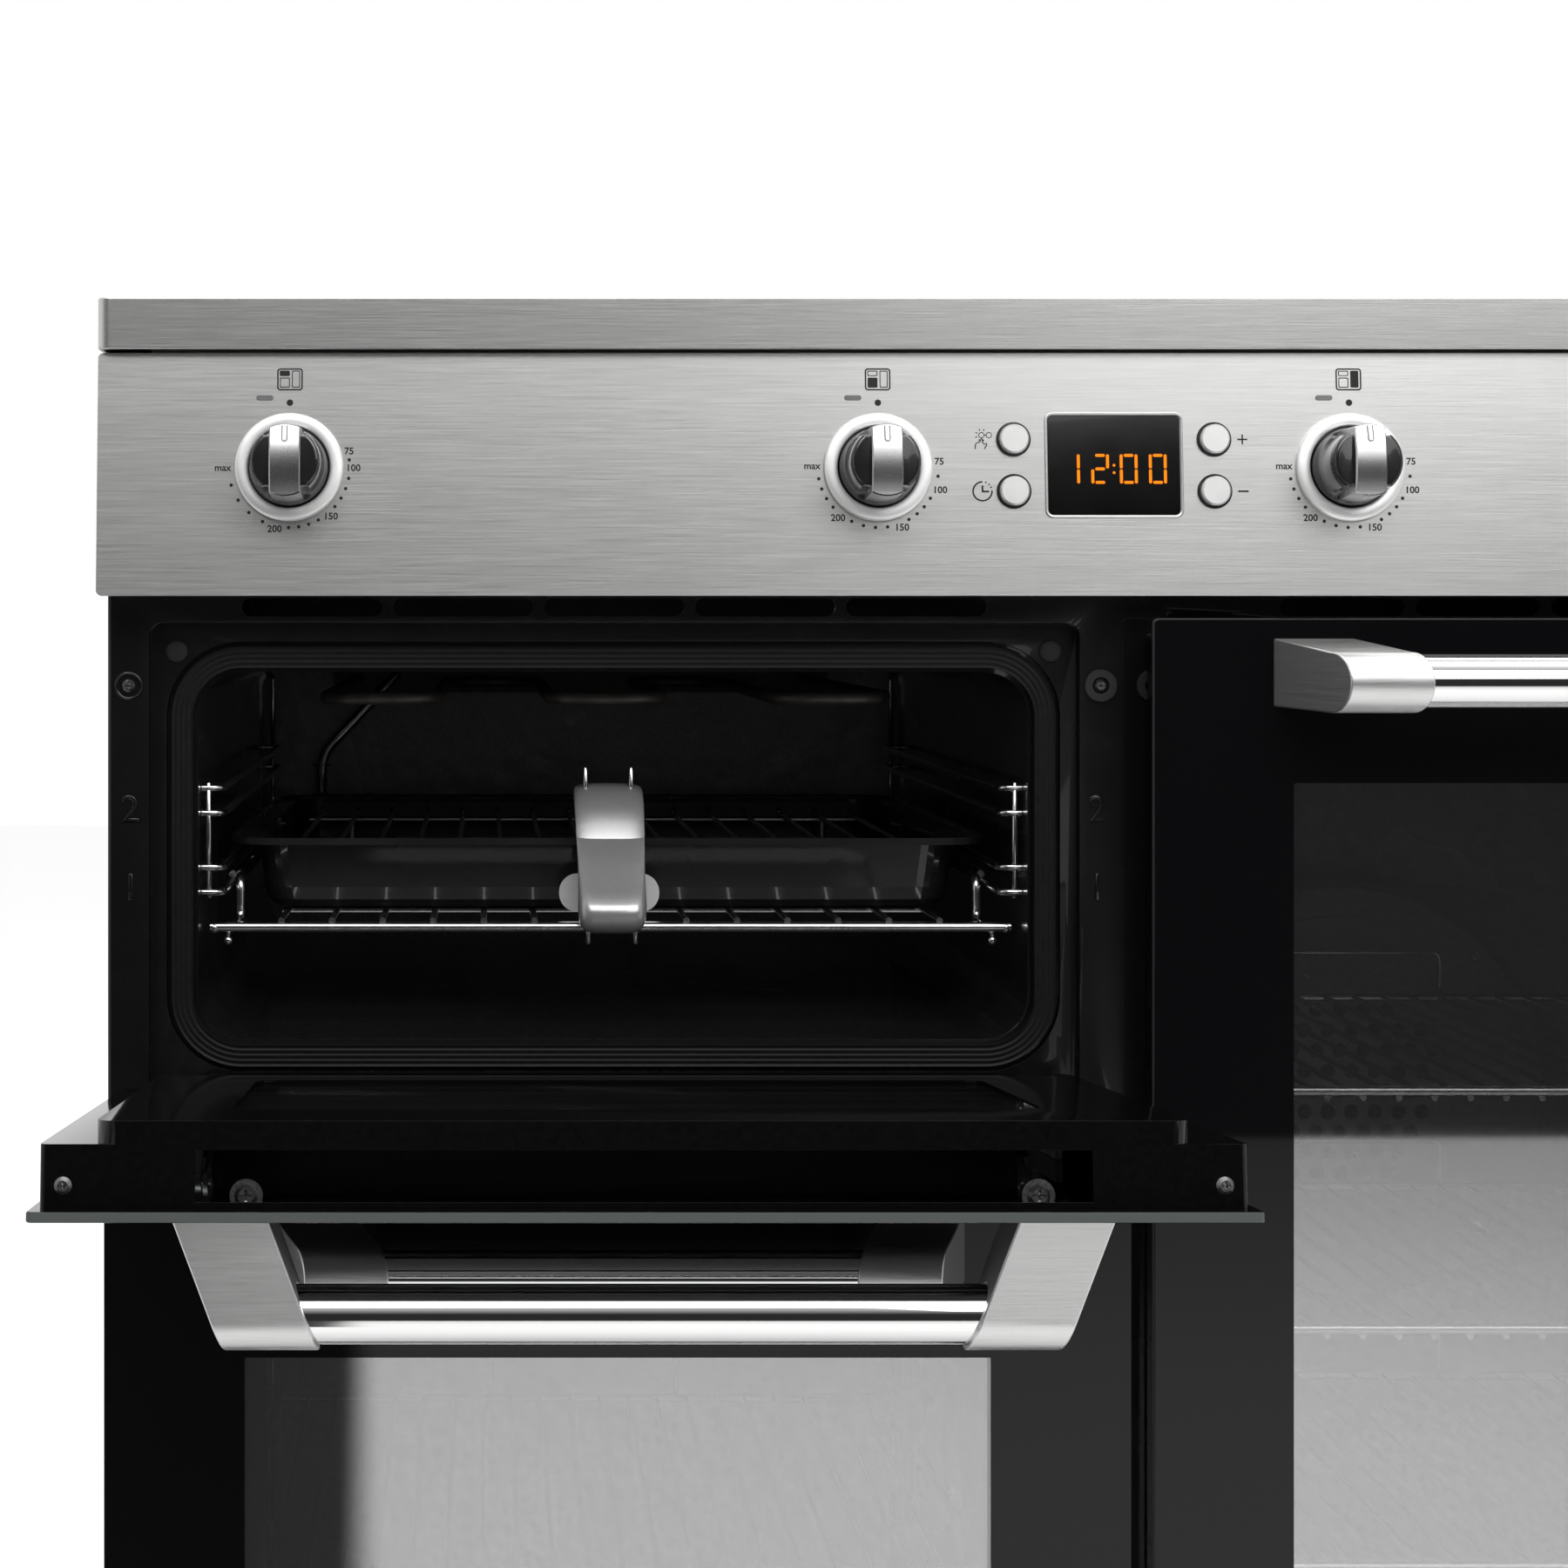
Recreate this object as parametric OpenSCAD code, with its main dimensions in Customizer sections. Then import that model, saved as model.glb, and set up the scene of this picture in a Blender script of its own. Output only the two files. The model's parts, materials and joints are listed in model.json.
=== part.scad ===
// Induction range cooker with a drop-down grill oven, a drop-down lower oven and a side-hinged tall oven
// Millimetres, +Z up, the front faces -Y, the feet stand on Z = 0

/* [Body] */
// Width over the control panel and the hob trim
cooker_w = 900; // [860:5:1000]
// Height of the hob surface above the floor
cooker_h = 900; // [880:5:940]
// Depth of the body behind the plane of the front frames
body_d = 570; // [520:5:620]
// How far each side panel lies inside the trim and the control panel
side_inset = 1.5; // [0.5:0.5:5]
// Sheet thickness of the outer panels
sheet_t = 1.2; // [0.8:0.1:2]
// Height of the body's underside above the floor
base_z = 82; // [70:1:86]
// How far the plinth stands behind the plane of the front frames
plinth_setback = 45; // [35:1:90]

/* [Hob] */
// Height of the brushed hob trim
trim_h = 23; // [18:1:30]
// Corner radius of the hob trim
trim_r = 6; // [3:1:12]
// Width of the trim's rim around the glass
trim_rim = 9; // [6:1:16]
// Thickness of the hob glass
hob_glass_t = 4; // [4:0.5:6]
// Radius of the large middle cooking zone
zone_large_r = 140; // [110:5:145]
// Radius of the four corner cooking zones
zone_small_r = 95; // [70:5:100]

/* [Control panel] */
// Gap between the hob trim and the control panel
panel_gap = 1; // [0.5:0.5:3]
// Height of the control panel
panel_h = 108; // [104:1:112]
// Lean of the control panel's face
panel_tilt = 4; // [0:1:8]
// How far the panel's lower edge stands in front of the front frames
panel_reach = 28; // [24:1:32]
// Height of the knob axes below the panel's top edge
knob_drop = 51; // [46:1:56]
// Diameter of a knob's bezel ring
bezel_d = 48; // [44:1:54]
// Diameter of a knob's skirt
knob_skirt_d = 35; // [30:1:38]
// Diameter of a knob's grip
knob_grip_d = 31; // [26:1:34]
// How far a knob stands out of the panel
knob_h = 30; // [24:1:34]
// Width of the steel bar across a knob
knob_bar_w = 13; // [9:1:16]
// Distance of the inner knobs from the middle
knob_x_inner = 104.4; // [96:1:120]
// Distance of the outer knobs from the middle
knob_x_outer = 365; // [330:1:390]
// Diameter of a push button
button_d = 13; // [10:1:15]
// Distance of the push buttons from the middle
button_x = 44.4; // [42:1:50]
// Travel of a push button
button_travel = 2; // [1:0.5:2.5]
// Width of the clock window
display_w = 58; // [50:1:62]
// Height of the clock window
display_h = 44; // [36:1:48]

/* [Doors] */
// Gap between the control panel and the doors
door_drop = 10; // [8:1:14]
// Height of the grill oven's door
grill_door_h = 250; // [240:1:260]
// Gap between the grill door and the lower door
door_gap = 3; // [2.5:0.5:5]
// Width of the two left doors
left_door_w = 452.5; // [440:1:456]
// Gap between the left doors and the tall door
column_gap = 10; // [8:1:16]
// Thickness of a door's outer glass
door_glass_t = 4; // [4:0.5:5]
// Thickness of a door up to the shoulder of its inner frame
door_t = 27.6; // [26:0.2:29]
// How far the inner frame's middle stands out behind the shoulder
door_step = 8.4; // [6:0.2:9]
// Gap between a closed door's shoulder and the front frame
door_air = 2.4; // [2:0.2:4]
// Angle at which the grill door stands open, measured from closed
grill_door_open = 84.8; // [75:0.2:90]
// Height of the hinge pins above a drop-down door's lower edge
pin_rise = 29.5; // [27:0.5:31]
// How far the hinge pins stand in front of the front frames
pin_reach = 10.7; // [10.2:0.1:11.5]
// Diameter of a hinge pin
pin_d = 4; // [3:0.5:5]
// Running clearance round a hinge pin, shaft or spindle
running_gap = 0.05; // [0.03:0.01:0.09]

/* [Handles] */
// Diameter of the handle tubes
tube_d = 22; // [18:1:24]
// Distance of a tube's axis from the glass
tube_reach = 37; // [34:1:45]
// Depth of a tube's axis below the door's upper edge
tube_drop = 27.2; // [24:0.5:40]
// Width of a handle bracket
bracket_w = 35.6; // [30:1:42]
// Radius of a bracket's nose
nose_r = 13; // [12.5:0.5:15]
// How far a bracket leans towards the middle of the door
bracket_slant = 18.7; // [10:1:24]
// Distance of the brackets from the edges of the grill door and the tall door
handle_inset = 52; // [40:1:60]
// Distance of the brackets from the edges of the lower door
lower_handle_inset = 73; // [60:1:90]

/* [Ovens] */
// Distance from the left doors' edges to their ovens' openings
left_margin = 37.25; // [34.25:0.5:46.25]
// Distance from the tall door's edges to its oven's opening
tall_margin = 37.95; // [35.95:0.5:44.95]
// Distance from a door's upper edge to its opening
opening_drop = 24.5; // [23:0.5:30]
// Distance from a door's lower edge to its opening
opening_rise = 58; // [54:1:70]
// Depth of an oven behind its seal
cavity_d = 405; // [390:5:430]
// Sheet thickness of the oven liners and front frames
liner_t = 1; // [0.8:0.1:1.5]
// Width of a door seal
seal_w = 9.5; // [7:0.5:10]
// Height of the embossed step in the front frames
step_depth = 8; // [7.5:0.5:10]
// Depth of the seal's seat in the front frames
seat_depth = 12; // [11:0.5:14]

/* [Grill oven] */
// Height of the lower runner's middle above the oven floor
runner_z = 71.5; // [66:0.5:76]
// Distance between the two pairs of runners
runner_pitch = 36.5; // [34:0.5:40]
// Gap between the two wires of a runner
runner_gap = 11.5; // [11:0.5:13]
// Diameter of the runner wires
runner_d = 3.2; // [2.6:0.2:4]
// Gap between the wire shelf and each side of the opening
shelf_gap = 3; // [2.5:0.5:9]
// Distance between the tall oven's shelf levels
tall_pitch = 111; // [100:1:115]
// How much shorter the wire shelf is than the oven
shelf_short = 60; // [55:5:85]
// Distance of the shelf's front rod behind the front frames
shelf_setback = 34; // [32:1:40]
// Diameter of the shelf's front rod
rod_d = 5; // [4:0.5:6]
// Diameter of the shelf's depth wires
wire_d = 3; // [2.4:0.2:3.6]
// Drop of the shelf's floor below its side rods
shelf_drop = 21; // [14:1:22]
// Gap between the grill pan's rim and each side of the opening
pan_gap = 9.5; // [7:0.5:19]
// How much shorter the grill pan is than the oven
pan_short = 105; // [95:5:145]
// Height of the grill pan
pan_h = 35.5; // [34:0.5:42]
// Width of the pan handle
grip_w = 33; // [26:1:38]

/* [Hidden] */
$fn = 64;

EPS = 0.01;
seat_gap = 0.3;

body_w = cooker_w - 2 * side_inset;
panel_top = cooker_h - trim_h - panel_gap;
panel_z = panel_top - panel_h;
door_top = panel_z - door_drop;
doors_low = base_z + 8;
grill_door_z = door_top - grill_door_h;
lower_door_top = grill_door_z - door_gap;
lower_door_h = lower_door_top - doors_low;
tall_door_h = door_top - doors_low;

door_side_gap = 2.3;
outer_edge = body_w / 2 - door_side_gap;
left_x = -outer_edge + left_door_w / 2;
left_door_right = -outer_edge + left_door_w;
tall_door_w = 2 * outer_edge - left_door_w - column_gap;
tall_x = outer_edge - tall_door_w / 2;
left_opening_w = left_door_w - 2 * left_margin;
tall_opening_w = tall_door_w - 2 * tall_margin;
shelf_w = left_opening_w - 2 * shelf_gap;
shelf_depth = cavity_d - shelf_short;
pan_w = left_opening_w - 2 * pan_gap;
pan_d = cavity_d - pan_short;
divider_x = left_door_right + column_gap / 2;
glass_y = -(door_t + door_air);
shoulder_y = -door_air;
box_inset = 8;
box_side = 3.7;
plateau_side = 24;
pin_below = 5.5;

grill_pin_z = grill_door_z + pin_rise;
lower_pin_z = doors_low + pin_rise;
side_pin_x = outer_edge - 6.5;
side_pin_reach = 16;

box_t = 28;

// The open grill door's outer corner and the terminal box set the middle of the depth
corner_up = grill_door_h - pin_rise;
corner_out = -glass_y - pin_reach;
door_front = pin_reach + corner_up * sin(grill_door_open) + corner_out * cos(grill_door_open);
front_y = (door_front - body_d - box_t) / 2;

grill_open_z = [grill_door_z + opening_rise, door_top - opening_drop];
lower_open_z = [doors_low + opening_rise, lower_door_top - opening_drop];
tall_open_z = [doors_low + opening_rise, door_top - opening_drop];
opening_r = 20;
frame_low = base_z + 26;
frame_top = panel_z + 9;
channel_z = [grill_door_z - 8, grill_door_z + 15];
channel_depth = 20;
liner_y = seat_depth + liner_t;

hob_z = cooker_h - trim_h;

// Moves a sub-part from the front frames' plane to its place in the cooker
module placed() translate([0, front_y, 0]) children();

// Extrudes an outline drawn in X and Z from the depth y0 backwards
module facing(y0, depth) translate([0, y0 + depth, 0]) rotate([90, 0, 0]) linear_extrude(depth) children();

// Extrudes an outline drawn in Y and Z along X, centred on x = 0
module sideways(width) translate([-width / 2, 0, 0]) rotate([90, 0, 90]) linear_extrude(width) children();

module rounded(w, h, r) {
  square([w - 2 * r, h], center = true);
  square([w, h - 2 * r], center = true);
  for (x = [-1, 1], z = [-1, 1]) translate([x * (w / 2 - r), z * (h / 2 - r)]) circle(r);
}

// A rounded outline between two heights, centred on an X
module window(x, z, w, r) translate([x, (z[0] + z[1]) / 2]) rounded(w, z[1] - z[0], r);

// A straight round wire from a to b
module wire(a, b, d) {
  v = b - a;
  len = norm(v);
  translate(a) rotate([0, acos(v[2] / len), atan2(v[1], v[0])]) cylinder(d = d, h = len);
}

// Direction, in degrees, from one flat point to the next
function heading(a, b) = atan2(b[1] - a[1], b[0] - a[0]);

// Length of a straight run that a bend of radius r takes up at corner i of a flat path
function corner_cut(p, i, r) = (i == 0 || i == len(p) - 1) ? 0 :
  r * tan(abs(turn(p, i)) / 2);
function turn(p, i) = (heading(p[i], p[i + 1]) - heading(p[i - 1], p[i]) + 540) % 360 - 180;

// A round wire along a flat path in X and Y, bent to the radius r at its corners
module bent_wire(p, d, r) {
  for (i = [0 : len(p) - 2]) {
    way = heading(p[i], p[i + 1]);
    cut0 = corner_cut(p, i, r);
    run = norm(p[i + 1] - p[i]) - cut0 - corner_cut(p, i + 1, r);
    translate(p[i]) rotate([0, 0, way]) translate([cut0, 0, 0]) rotate([0, 90, 0]) cylinder(d = d, h = run);
  }
  for (i = [1 : len(p) - 2]) {
    way = heading(p[i - 1], p[i]);
    left = turn(p, i) > 0 ? 1 : -1;
    translate(p[i]) rotate([0, 0, way]) translate([-corner_cut(p, i, r), left * r, 0])
      rotate([0, 0, left > 0 ? -90 : 90 - abs(turn(p, i))]) rotate_extrude(angle = abs(turn(p, i)))
        translate([r, 0]) circle(d = d);
  }
}

// Stands a flat path up, so that its X runs along Y and its Y along Z
module upright() rotate([90, 0, 90]) children();

module foot_place() for (x = [-1, 1], y = [plinth_setback + 40, body_d - 60])
  translate([x * (body_w / 2 - 60), y, 0]) children();

stud_d = 12;
stud_top = base_z + 14;

base_t = 1.6;
base_h = 20;
base_setback = 24;
module base_frame() placed() color("dimgray") difference() {
  w = body_w - 2 * sheet_t;
  d = body_d - base_setback - sheet_t;
  union() {
    translate([-w / 2, base_setback, base_z]) difference() {
      cube([w, d, base_h]);
      translate([base_t, base_t, base_t]) cube([w - 2 * base_t, d - 2 * base_t, base_h]);
    }
    foot_place() translate([0, 0, base_z]) cylinder(d = stud_d + 12, h = 10);
  }
  foot_place() translate([0, 0, base_z - 1]) cylinder(d = stud_d + 2 * running_gap, h = 12);
}

module levelling_feet() placed() color("gray") foot_place() {
  cylinder(d1 = 36, d2 = 40, h = 3);
  translate([0, 0, 3]) cylinder(d = 40, h = 9);
  translate([0, 0, 12]) cylinder(d1 = 40, d2 = 24, h = 6);
  cylinder(d = stud_d, h = stud_top);
}

plinth_low = 14;
module plinth() placed() color("#202022") {
  w = body_w - 6;
  translate([-w / 2, plinth_setback, plinth_low]) cube([w, sheet_t, base_z - plinth_low]);
  for (x = [-w / 2, w / 2 - sheet_t])
    translate([x, plinth_setback, plinth_low]) cube([sheet_t, 18, base_z - plinth_low]);
  for (z = [plinth_low, base_z - sheet_t])
    translate([-w / 2, plinth_setback, z]) cube([w, 18, sheet_t]);
}

return_w = 14;
module side_panel() {
  h = hob_z - base_z;
  translate([0, 0, base_z]) cube([sheet_t, body_d - sheet_t, h]);
  translate([0, body_d - 2 * sheet_t, base_z + base_h + 1]) cube([return_w, sheet_t, h - base_h - 1]);
  translate([0, 0, hob_z - sheet_t]) cube([return_w, body_d - sheet_t - 1, sheet_t]);
  for (z = [0.3, 0.62]) translate([sheet_t - EPS, 90, base_z + z * h])
    cube([0.8, body_d - 180, 5]);
}
module side_panel_left() placed() color("#1d1d1f") translate([-body_w / 2, 0, 0]) side_panel();
module side_panel_right() placed() color("#1d1d1f") mirror([1, 0, 0])
  translate([-body_w / 2, 0, 0]) side_panel();

box_w = 110;
box_h = 90;
box_x = cooker_w / 2 - 150;
box_z = 470;
gland_r = 10;
tilt_hole_r = 3;
tilt_hole_x = 190;
tilt_hole_z = base_z + 60;

module back_panel() placed() color("silver") difference() {
  facing(body_d - sheet_t, sheet_t) translate([0, (base_z + hob_z) / 2])
    square([body_w, hob_z - base_z], center = true);
  facing(body_d - 2, 4) {
    for (x = [-1, 1], i = [0 : 7]) translate([x * body_w / 4 + (i - 3.5) * 22, hob_z - 70])
      rounded(6, 60, 2.9);
    for (x = [-1, 1]) translate([x * tilt_hole_x, tilt_hole_z]) circle(tilt_hole_r);
    for (x = [-1, 1], z = [-1, 1]) translate([box_x + x * 42, box_z + z * 32]) circle(2.2);
  }
}

module terminal_box() placed() color("#2a2a2c") translate([box_x, body_d, box_z]) difference() {
  union() {
    rotate([-90, 0, 0]) linear_extrude(box_t - 4) rounded(box_w, box_h, 6);
    translate([0, box_t - 4, 0]) rotate([-90, 0, 0]) linear_extrude(4) rounded(box_w - 4, box_h - 4, 5);
    translate([0, box_t / 2, -box_h / 2 - 12]) cylinder(r = gland_r + 3.5, h = 14);
  }
  translate([0, box_t / 2, -box_h / 2 - 13]) cylinder(r = gland_r, h = 34);
  translate([-box_w / 2 + 6, 2.5, -box_h / 2 + 20]) cube([box_w - 12, box_t - 8, box_h - 26]);
}

tray_low = hob_z - 58;
zone_x = cooker_w * 0.31;
glass_w = cooker_w - 2 * trim_rim;
trim_front = glass_y + 4;
trim_d = body_d - trim_front;
glass_d = trim_d - 2 * trim_rim;
hob_mid_y = trim_front + trim_d / 2;
zone_dy = glass_d * 0.235;
coil_t = 9;
coil_z = cooker_h - hob_glass_t - 2 - coil_t;

tray_t = 1.2;
tray_inset = return_w + 2;
module hob_tray() placed() color("silver") {
  w = body_w - 2 * tray_inset;
  difference() {
    translate([-w / 2, 30, tray_low]) cube([w, body_d - 60, coil_z - tray_low]);
    translate([-w / 2 + tray_t, 30 + tray_t, tray_low + tray_t])
      cube([w - 2 * tray_t, body_d - 60 - 2 * tray_t, coil_z - tray_low - 2.2 * tray_t]);
  }
  for (e = [-1, 1]) translate([e * (w / 2 + return_w / 2 - EPS), body_d / 2, hob_z + tray_t / 2])
    cube([return_w, body_d - 60, tray_t], center = true);
}

module coil(r) difference() {
  union() {
    cylinder(r = r, h = 3);
    for (k = [0 : 3]) translate([0, 0, 2]) difference() {
      cylinder(r = r - k * (r - 24) / 4.2, h = coil_t - 2);
      translate([0, 0, -1]) cylinder(r = r - k * (r - 24) / 4.2 - 8, h = coil_t + 2);
    }
  }
  translate([0, 0, -1]) cylinder(r = 14, h = coil_t + 2);
}
module induction_coils() placed() color("#b5673a") {
  translate([0, hob_mid_y, coil_z]) coil(zone_large_r - 6);
  for (x = [-1, 1], y = [-1, 1]) translate([x * zone_x, hob_mid_y + y * zone_dy, coil_z])
    coil(zone_small_r - 6);
}

trim_wall = side_inset + 1.2;
ledge_w = 12;
module hob_trim() placed() color("silver") difference() {
  translate([0, hob_mid_y, hob_z]) linear_extrude(trim_h) rounded(cooker_w, trim_d, trim_r);
  translate([0, hob_mid_y, cooker_h - hob_glass_t]) linear_extrude(trim_h)
    rounded(glass_w, glass_d, trim_r);
  translate([0, hob_mid_y, hob_z - 1]) linear_extrude(trim_h + 2)
    rounded(glass_w - 2 * ledge_w, glass_d - 2 * ledge_w, trim_r);
  translate([0, hob_mid_y, hob_z - 1]) linear_extrude(trim_h - 7)
    rounded(cooker_w - 2 * trim_wall, trim_d - 2 * trim_wall, trim_r);
}

module hob_glass() placed() color("#101012") translate([0, hob_mid_y, cooker_h - hob_glass_t])
  linear_extrude(hob_glass_t) rounded(glass_w - 1, glass_d - 1, trim_r);

// The control panel's face leans back, so what sits on it is placed in the face's own frame
module on_panel(x, drop) translate([x, -panel_reach, panel_z]) rotate([-panel_tilt, 0, 0])
  translate([0, 0, (panel_top - panel_z) - drop]) children();

panel_depth_top = panel_h * tan(panel_tilt);
knob_xs = [-knob_x_outer, -knob_x_inner, knob_x_inner, knob_x_outer];
display_drop = 50;
button_drops = [38.6, 61.7];
button_hole_d = button_d + 1.2;
shaft_d = 6;

panel_t = 1.5;
end_in = 1;
module control_panel() placed() color("silver") difference() {
  union() {
    on_panel(0, panel_h / 2) facing(0, panel_t) rounded(cooker_w, panel_h, 2.5);
    for (x = [-cooker_w / 2 + end_in, cooker_w / 2 - end_in - panel_t])
      translate([x, 0, panel_z + 2]) rotate([90, 0, 90]) linear_extrude(panel_t)
        polygon([[panel_t - panel_reach, 0], [-seat_gap, 0], [-seat_gap, panel_h - 5],
          [panel_t - panel_reach + panel_depth_top, panel_h - 5]]);
    for (q = [[1, 0], [panel_h - 4, panel_depth_top]])
      translate([-cooker_w / 2 + 2, 1 - panel_reach + q[1], panel_z + q[0]])
        cube([cooker_w - 4, panel_reach - 1 - q[1] - seat_gap, panel_t]);
  }
  for (x = knob_xs) on_panel(x, knob_drop) facing(-1, 4) circle(d = shaft_d + 4);
  for (x = [-button_x, button_x], drop = button_drops) on_panel(x, drop)
    facing(-1, 4) circle(d = button_hole_d);
  on_panel(0, display_drop) facing(-1, 4) rounded(display_w + 0.6, display_h + 0.6, 2.3);
}

module knob_bezels() placed() color("gainsboro") for (x = knob_xs) on_panel(x, knob_drop)
  rotate([90, 0, 0]) difference() {
    union() {
      cylinder(d = bezel_d, h = 1.6);
      translate([0, 0, 1.6]) cylinder(d1 = bezel_d, d2 = bezel_d - 2.4, h = 1.2);
    }
    translate([0, 0, 1.2]) cylinder(d = knob_skirt_d + 1.2, h = 3);
    translate([0, 0, -1]) cylinder(d = shaft_d + 4, h = 4);
  }

skirt_h = 7;
module knob(x) placed() on_panel(x, knob_drop) rotate([90, 0, 0]) {
  difference() {
    union() {
      color("#161617") translate([0, 0, 1.5]) cylinder(d = knob_skirt_d, h = 2.5);
      color("#161617") translate([0, 0, 4 - EPS]) cylinder(d1 = knob_skirt_d, d2 = knob_grip_d, h = skirt_h - 4);
      color("#161617") translate([0, 0, skirt_h - EPS]) cylinder(d = knob_grip_d, h = knob_h - skirt_h - 5);
      color("#161617") translate([0, 0, knob_h - 5 - 2 * EPS])
        cylinder(d1 = knob_grip_d, d2 = knob_grip_d - 3, h = 2);
    }
    for (a = [60, 120, 240, 300]) rotate([0, 0, a]) translate([knob_grip_d / 2 + 1.2, 0, skirt_h + 4])
      cylinder(r = 3.2, h = knob_h);
  }
  color("silver") intersection() {
    translate([0, 0, skirt_h]) cylinder(d = knob_grip_d + 0.6, h = knob_h - skirt_h);
    translate([-knob_bar_w / 2, -knob_grip_d, skirt_h + 2]) cube([knob_bar_w, 2 * knob_grip_d, knob_h]);
  }
  color("gray") translate([0, 0, -switch_gap - 6]) cylinder(d = shaft_d, h = switch_gap + 9);
}
module knob_grill_oven() knob(knob_xs[0]);
module knob_lower_oven() knob(knob_xs[1]);
module knob_tall_oven() knob(knob_xs[2]);
module knob_grill() knob(knob_xs[3]);

switch_gap = 3;
module rotary_switches() placed() color("#d8d8d2") for (x = knob_xs) on_panel(x, knob_drop)
  rotate([-90, 0, 0]) translate([0, 0, switch_gap - 1.5]) difference() {
    union() {
      cylinder(d = 38, h = 16);
      translate([-24, -8, 0]) cube([48, 16, 2]);
    }
    translate([0, 0, -1]) cylinder(d = shaft_d + 2 * running_gap, h = 12);
  }

button_out = 3.4;
module button(x, drop) placed() color("gainsboro") on_panel(x, drop) rotate([90, 0, 0]) {
  translate([0, 0, button_out - 0.8]) cylinder(d1 = button_d, d2 = button_d - 1.4, h = 0.8);
  translate([0, 0, -2]) cylinder(d = button_d, h = button_out + 1.2 + EPS);
  translate([0, 0, -panel_t - seat_gap - 1]) cylinder(d = button_hole_d + 2.4, h = 1);
  translate([0, 0, -6]) cylinder(d = 5, h = 4.5);
}
module button_light() button(-button_x, button_drops[0]);
module button_timer() button(-button_x, button_drops[1]);
module button_plus() button(button_x, button_drops[0]);
module button_minus() button(button_x, button_drops[1]);

module display_window() placed() color("#0a0a0b") on_panel(0, display_drop)
  facing(0.2, 3) rounded(display_w, display_h, 2);

module timer_module() placed() color("#1d4d2b") difference() {
  on_panel(0, display_drop) union() {
    translate([-58, 9, -26]) cube([116, 3, 52]);
    translate([-display_w / 2, 3.2, -display_h / 2]) cube([display_w, 6, display_h]);
  }
  for (x = [-button_x, button_x], drop = button_drops) on_panel(x, drop)
    facing(8, 5) circle(d = 5.6);
}

step_side = 22.2;
step_above = 23.5;
step_below = 30;
seal_margin = 2;
seat_margin = seal_margin + seal_w + 2.5;

module step_outline(o, t)
  window(o[0], [o[1][0] - step_below + t, o[1][1] + step_above - t], o[2] + 2 * (step_side - t), 6);
module seat_outline(o, t)
  window(o[0], [o[1][0] - seat_margin - t, o[1][1] + seat_margin + t], o[2] + 2 * (seat_margin + t), opening_r + seat_margin);

// Front frames are pressed from one sheet: a face, an embossed step, and the seal's seat
module pressed_front(x, z, w, openings) difference() {
  union() {
    facing(0, liner_t) window(x, z, w, 1);
    for (e = [-1, 1]) translate([x + e * (w / 2 - liner_t / 2), 9, (z[0] + z[1]) / 2])
      cube([liner_t, 18, z[1] - z[0] - 2], center = true);
    for (o = openings) {
      facing(0, step_depth + liner_t) step_outline(o, 0);
      facing(step_depth, seat_depth - step_depth + liner_t) seat_outline(o, liner_t);
    }
  }
  for (o = openings) {
    facing(-1, step_depth + 1) step_outline(o, liner_t);
    facing(-1, seat_depth + 1) seat_outline(o, 0);
    facing(-1, seat_depth + 30) window(o[0], o[1], o[2], opening_r);
  }
}

frame_edge = body_w / 2 - sheet_t;
frame_gap = 0.1;
left_frame_w = divider_x + frame_edge - 2 * frame_gap;
left_frame_x = (divider_x - frame_edge) / 2;
right_frame_w = frame_edge - divider_x - 2 * frame_gap;
right_frame_x = (divider_x + frame_edge) / 2;
frame_z = [frame_low, frame_top];
vent_z = panel_z - door_drop / 2;
vent_h = 8.3;
vent_gap = 5;

module vent_slots(x, total, count) {
  slot_w = (total - (count - 1) * vent_gap) / count;
  for (i = [0 : count - 1]) translate([x + (i - (count - 1) / 2) * (slot_w + vent_gap), vent_z])
    rounded(slot_w, vent_h, vent_h / 2 - 0.05);
}

// Hinge tails and screw shanks pass through the frames in these openings
hinge_in = 40;
ear_gap = 5;
ear_t = 2;
ear_r = 6.5;
plate_t = 2;
side_ear_r = 5;
tail_z = [-10, -4];
tail_half = ear_gap / 2 + ear_t;
screw_d = 3.4;
module frame_screw_places() for (x = [left_x - left_door_w / 2 + 7, left_door_right - 6.8,
  tall_x - tall_door_w / 2 + 7, outer_edge - 7]) translate([x, 0, door_top - 30.5]) children();
module frame_holes() {
  for (z = [grill_pin_z, lower_pin_z]) drop_hinge_places(left_x)
    translate([-tail_half - seat_gap, -1, z + tail_z[0]]) cube([2 * (tail_half + seat_gap), 4, tail_z[1] - tail_z[0]]);
  side_hinge_z() translate([side_pin_x - side_ear_r - seat_gap, -1, -tail_half - seat_gap])
    cube([2 * (side_ear_r + seat_gap), 4, 2 * (tail_half + seat_gap)]);
  frame_screw_places() rotate([90, 0, 0]) cylinder(d = screw_d + 0.2, h = 10, center = true);
}

left_openings = [[left_x, grill_open_z, left_opening_w], [left_x, lower_open_z, left_opening_w]];
module channel(grow_w, grow_z) translate([left_frame_x, (channel_z[0] + channel_z[1]) / 2])
  square([left_frame_w + grow_w, channel_z[1] - channel_z[0] + grow_z], center = true);

// The channel across the left frame takes in the grill door's lower edge as it swings open
module left_front_frame() placed() color("#17171a") difference() {
  union() {
    pressed_front(left_frame_x, frame_z, left_frame_w, left_openings);
    facing(0, channel_depth + liner_t) channel(0, 2 * liner_t);
  }
  facing(-1, channel_depth + 1) channel(2, 0);
  facing(-1, step_depth + 1) step_outline(left_openings[1], liner_t);
  facing(-1, 4) vent_slots(left_x, left_door_w - 116.5, 5);
  frame_holes();
}

module right_front_frame() placed() color("#17171a") difference() {
  pressed_front(right_frame_x, frame_z, right_frame_w, [[tall_x, tall_open_z, tall_opening_w]]);
  facing(-1, 4) vent_slots(tall_x, tall_door_w - 128.9, 5);
  frame_holes();
}

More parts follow.
